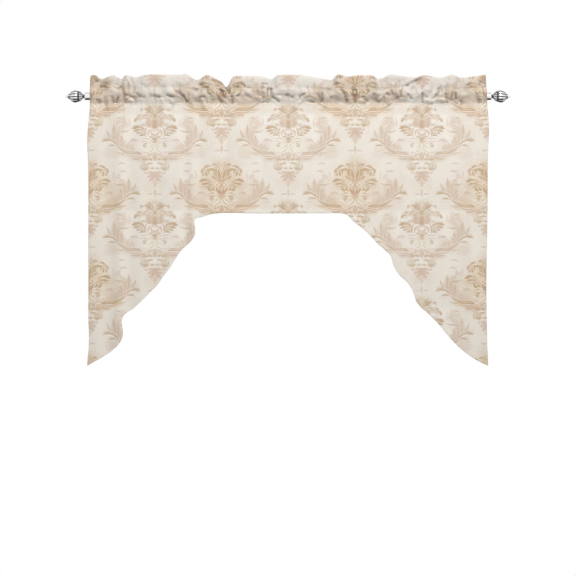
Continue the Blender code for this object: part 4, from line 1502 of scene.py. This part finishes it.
class Damask(Finish):
    """The drape's printed cloth. The print is laid layer by layer into one running tone."""

    def __init__(self, name):
        super().__init__(name, Roughness=0.85, Specular_IOR_Level=0.1, Sheen_Weight=0.1)
        self.place = self.parts(self.carried("cloth"))
        self.find_cell()
        ink = self.lay_layer("washes", "lay_wash", WASHES, 0.0)
        for layer, shapes in SHAPES.items():
            laid = self.lay_layer(layer, "lay_shape", shapes, ink)
            if layer in SECOND_SHAPES:
                other = self.lay_layer("second " + layer, "lay_shape", SECOND_SHAPES[layer], ink)
                laid = self.blend(self.second, laid, other)
            ink = laid
        glaze = self.lay_layer("glazes", "lay_wash", GLAZES, 0.0)
        dyed = self.dye(ink, self.lay_layer("hues", "lay_wash", HUES, 0.0), glaze)
        stitches = self.find_stitches()
        self.give("Base Color", self.mix(stitches * THREAD_SHADE, self.shade(dyed), BLACK))
        self.weave(stitches)

    def lay_layer(self, name, how, rows, ink):
        """Lays a table of washes or shapes over this tone."""
        layer = PrintLayer(name)
        for row in rows:
            getattr(layer, how)(*row)
        layer.hand_over()
        inputs = {"u": self.u, "w": self.w, "second": self.second, "ink": ink}
        return self.node("Group", {"node_tree": layer.tree}, inputs)

    def find_cell(self):
        """Where the cloth lies in its bloom's cell, and whether the bloom is of the second column."""
        drift = self.parts(self.noise(*DRIFT_LUMPS, output="Color"))
        half = REPEAT_HEIGHT / 2
        x = self.place.out("X").scaled(1 / MM, HALF_REPEAT - KNOT[0])
        z = self.place.out("Y").scaled(1 / MM, half - KNOT[1])
        u = abs(x % (2 * HALF_REPEAT) - HALF_REPEAT)
        w = z % REPEAT_HEIGHT - half
        stops = [((at + half) / REPEAT_HEIGHT, (reach / HALF_REPEAT,) * 3) for at, reach in CELL_EDGE]
        reach = self.node("ValToRGB", {"stops": stops}, {0: w.scaled(1 / REPEAT_HEIGHT, 0.5)})
        self.second = u > reach * HALF_REPEAT
        other_w = (w + HALF_DROP + half) % REPEAT_HEIGHT - half
        u = self.blend(self.second, u, HALF_REPEAT - u)
        w = self.blend(self.second, w, other_w)
        self.u = abs(drift.out("X").scaled(PRINT_DRIFT, u - PRINT_DRIFT / 2))
        self.w = drift.out("Y").scaled(PRINT_DRIFT, w - PRINT_DRIFT / 2)

    def noise(self, lumps, detail, output="Fac"):
        """Soft unevenness over the flat cloth, with so many lumps in a metre."""
        inputs = {"Vector": self.carried("cloth"), "Scale": lumps, "Detail": detail}
        return self.node("TexNoise", {}, inputs, output=output)

    def uneven(self, value, amount, lumps, detail):
        """The value with soft unevenness of this amount about it."""
        return self.noise(lumps, detail).scaled(amount, value - amount / 2)

    def dye(self, ink, pink, glaze):
        """The colour of the flat cloth at this tone of the print and lean of its hue."""
        inked = glaze.scaled(GLAZE_INK, ink * self.second.scaled(SECOND_INK - 1, 1))
        inked = self.uneven(inked, UNEVEN_INK, *MOTTLE_LUMPS)
        inked = self.uneven(inked, UNEVEN_INK, *PATCH_LUMPS)
        lowest, highest = INKS[0][0], INKS[-1][0]
        stops = [((tone - lowest) / (highest - lowest), colour(*rgb)) for tone, *rgb in INKS]
        place = inked.scaled(1 / (highest - lowest), -lowest / (highest - lowest))
        dyed = self.node("ValToRGB", {"stops": stops}, {0: place})
        pink = self.uneven(pink, UNEVEN_HUE, *HUE_LUMPS)
        dyed = self.tint(dyed, self.mix(pink.scaled(0.5, 0.5), opaque(OLIVE_CAST), opaque(PINK_CAST)))
        return self.tint(dyed, self.mix(glaze, WHITE, opaque(WARM_CAST)))

    def shade(self, dyed):
        """Darker with painted shade in the depth of the creases and over the heading, and paler on the
        reverse.
        """
        depth = self.parts(self.carried("shade"))
        # Painted shade: darker in the creases, then darker over the heading.
        dyed = self.tint(dyed, self.mix(depth.out("X"), WHITE, opaque(CREASE_SHADE_CAST)))
        # The painted shade over the heading.
        dyed = self.tint(dyed, self.mix(depth.out("Y"), WHITE, opaque(HEADING_SHADE_CAST)))
        return self.mix(self.place.out("Z") * REVERSE_VEIL, dyed, opaque(colour(*REVERSE)))

    def find_stitches(self):
        """1 on the stitches along the hem, the side edges and the heading's two seams."""
        edge = self.parts(self.carried("edge"))
        hem_gap = abs(edge.out("X").scaled(1 / MM, -HEM_STITCHING))
        seam_gap = edge.out("Z") * (1 / MM)
        on_hem = edge.out("Y").scaled(1 / MM, STITCH_START) % STITCH_STEP > STITCH_GAP
        on_seam = self.place.out("X").scaled(1 / MM, STITCH_START) % STITCH_STEP > STITCH_GAP
        return self.maths("MAXIMUM", (hem_gap < HALF_THREAD) * on_hem, (seam_gap < HALF_THREAD) * on_seam)

    def weave(self, stitches):
        """The fine slub of the cloth, drawn in under each stitch."""
        height = stitches.scaled(-1.0, self.noise(*SLUB_LUMPS))
        inputs = {"Strength": SLUB_STRENGTH, "Distance": SLUB_DEPTH, "Height": height}
        self.give("Normal", self.node("Bump", {}, inputs, output="Normal"))


def make_drape():
    points, faces, attributes = drape_mesh()
    drape = mesh_object("swag_drape", points, faces, attributes, Damask("damask print").material)
    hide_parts("drape")
    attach(drape, "root")
    fine = np.linspace(-HALF_WIDTH, HALF_WIDTH, AREA_SAMPLES)
    top = smooth_through(fine, GATHERS, 1) * MM
    length = 2 * top - heading(fine)["foot"] - hem_line(fine)
    flat_width = 2 * HALF_WIDTH * FULLNESS
    float(length.mean() * flat_width)


def turned(name, outline, sides, side, finish):
    """A solid turned about the rod's axis, from rows of (x, radius, flute, dark); side -1 mirrors it."""
    x, radius, flute, dark = (np.array(column)[:, None] for column in zip(*outline))
    angle = 2 * math.pi * np.arange(sides) / sides
    dip = 1 - np.abs(np.cos((angle + FLUTE_TURN) * FLUTES / 2))
    reach = radius - flute * dip
    points = np.stack([side * x + 0 * reach, reach * np.cos(angle), reach * np.sin(angle)], axis=2)
    rows = len(outline)
    number = np.arange(rows * sides).reshape(rows, sides)
    turn = np.roll(number, -1, axis=1)
    faces = np.stack([number[:-1], turn[:-1], turn[1:], number[1:]], axis=2).reshape(-1, 4).tolist()
    faces += [number[0].tolist(), number[-1].tolist()[::-1]]
    # How dark the plating is painted: lines in the flutes' dips, and the table's dark column, which is dark
    # antiquing in the grooves and painted shade at the neck.
    lined = dip * np.minimum(flute / (FULL_FLUTE * MM), 1)
    antique = np.stack([lined, dark + 0 * reach, 0 * reach], axis=2)
    return mesh_object(name, points.reshape(-1, 3), faces, {"antique": antique.reshape(-1, 3)}, finish)


def chrome(name, antiqued_and_shaded):
    """Polished chrome, painted darker where the mesh says so: dark antiquing in the grooves, and painted
    shade at the neck.
    """
    finish = Finish(name, Metallic=1.0, Roughness=POLISH, Base_Color=CHROME)
    if antiqued_and_shaded:
        # The painted dark: antiquing in the grooves, and painted shade at the neck.
        kept = finish.parts(finish.carried("antique"))
        low, high = DARK_DIP
        lines = kept.out("X").scaled(1 / (high - low), -low / (high - low), clamp=True)
        dark = finish.maths("MAXIMUM", lines, kept.out("Y"))
        finish.give("Base Color", finish.mix(dark, CHROME, ANTIQUE_AND_SHADE))
        finish.give("Roughness", dark.scaled(DULLING, POLISH))
    return finish.material


def make_finials():
    rows = np.array(FINIAL)
    even = np.linspace(rows[0, 0], rows[-1, 0], FINIAL_STATIONS)
    places = np.unique(np.concatenate([rows[:, 0], even])) * MM
    radius, flute, dark = (smooth_through(places, FINIAL, column) for column in (1, 2, 3))
    outline = list(zip(places, radius * MM, flute * MM, dark))
    finish = chrome("finial chrome", True)
    for name, side in (("left", -1), ("right", 1)):
        finial = turned(f"knob_finial_{name}", outline, SIDES_PER_FLUTE * FLUTES, side, finish)
        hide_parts(f"finial_{name}")
        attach(finial, "root")


def finish_rod():
    metal = chrome("rod chrome", False)
    for name in ("rod", "collar_left", "collar_right"):
        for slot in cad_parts[name].material_slots:
            slot.material = metal


def make_camera():
    """Straight at the front, level, so that the drape fills the upper half of a square picture."""
    picture_width = 1.801
    distance = 8.0
    eye_level = -0.599
    camera = bpy.data.cameras.new("camera")
    camera.sensor_width = 36
    camera.lens = camera.sensor_width * distance / picture_width
    holder = bpy.data.objects.new("camera", camera)
    holder.location = (0, -distance, eye_level)
    holder.rotation_euler = (math.radians(90), 0, 0)
    bpy.context.scene.collection.objects.link(holder)
    bpy.context.scene.camera = holder


def make_softbox(name, place, aim, size, power, mirrored):
    lamp = bpy.data.lights.new(name, "AREA")
    lamp.shape = "RECTANGLE"
    lamp.size, lamp.size_y = size
    lamp.energy = power
    holder = bpy.data.objects.new(name, lamp)
    holder.location = place
    holder.rotation_euler = (Vector(aim) - Vector(place)).to_track_quat("-Z", "Y").to_euler()
    holder.visible_glossy = mirrored
    bpy.context.scene.collection.objects.link(holder)


def fill_with_light():
    """Soft light from all round, before a white backdrop. Polished metal mirrors the white, and the darker
    room below and behind it."""
    world = bpy.data.worlds.new("studio")
    bpy.context.scene.world = world
    world.use_nodes = True
    sky = Nodes(world.node_tree)
    toward = sky.node("TexCoord", {}, {}, output="Generated")
    mirrored = 1.0
    for below, soft_from, soft_to, left in ROOM_SHADES:
        aim = (0, -math.cos(math.radians(below)), -math.sin(math.radians(below)))
        facing = sky.node("VectorMath", {"operation": "DOT_PRODUCT"}, {0: toward, 1: aim}, output="Value")
        ends = {0: facing, 1: soft_from, 2: soft_to, 3: 1.0, 4: left}
        mirrored = sky.node("MapRange", {"interpolation_type": "SMOOTHSTEP"}, ends) * mirrored
    ray = sky.node("LightPath", {}, {})
    strength = sky.blend(ray.out("Is Camera Ray"), FILL_LIGHT, 1.0)
    strength = sky.blend(ray.out("Is Glossy Ray"), strength, mirrored)
    background = world.node_tree.nodes["Background"]
    sky.put(background.inputs["Color"], WHITE)
    sky.put(background.inputs["Strength"], strength)


def make_studio():
    floor_level = -1.9
    floor_size = 5
    bpy.ops.mesh.primitive_plane_add(size=floor_size, location=(0, 0, floor_level))
    floor = bpy.context.object
    floor.name = "floor"
    finish = Finish("floor", Roughness=0.9, Base_Color=(0.82, 0.82, 0.81, 1))
    floor.data.materials.append(finish.material)
    floor.visible_glossy = False
    fill_with_light()
    for softbox in SOFTBOXES:
        make_softbox(*softbox)
    bpy.context.scene.view_settings.view_transform = "Standard"


make_camera()
make_studio()
make_drape()
make_finials()
finish_rod()
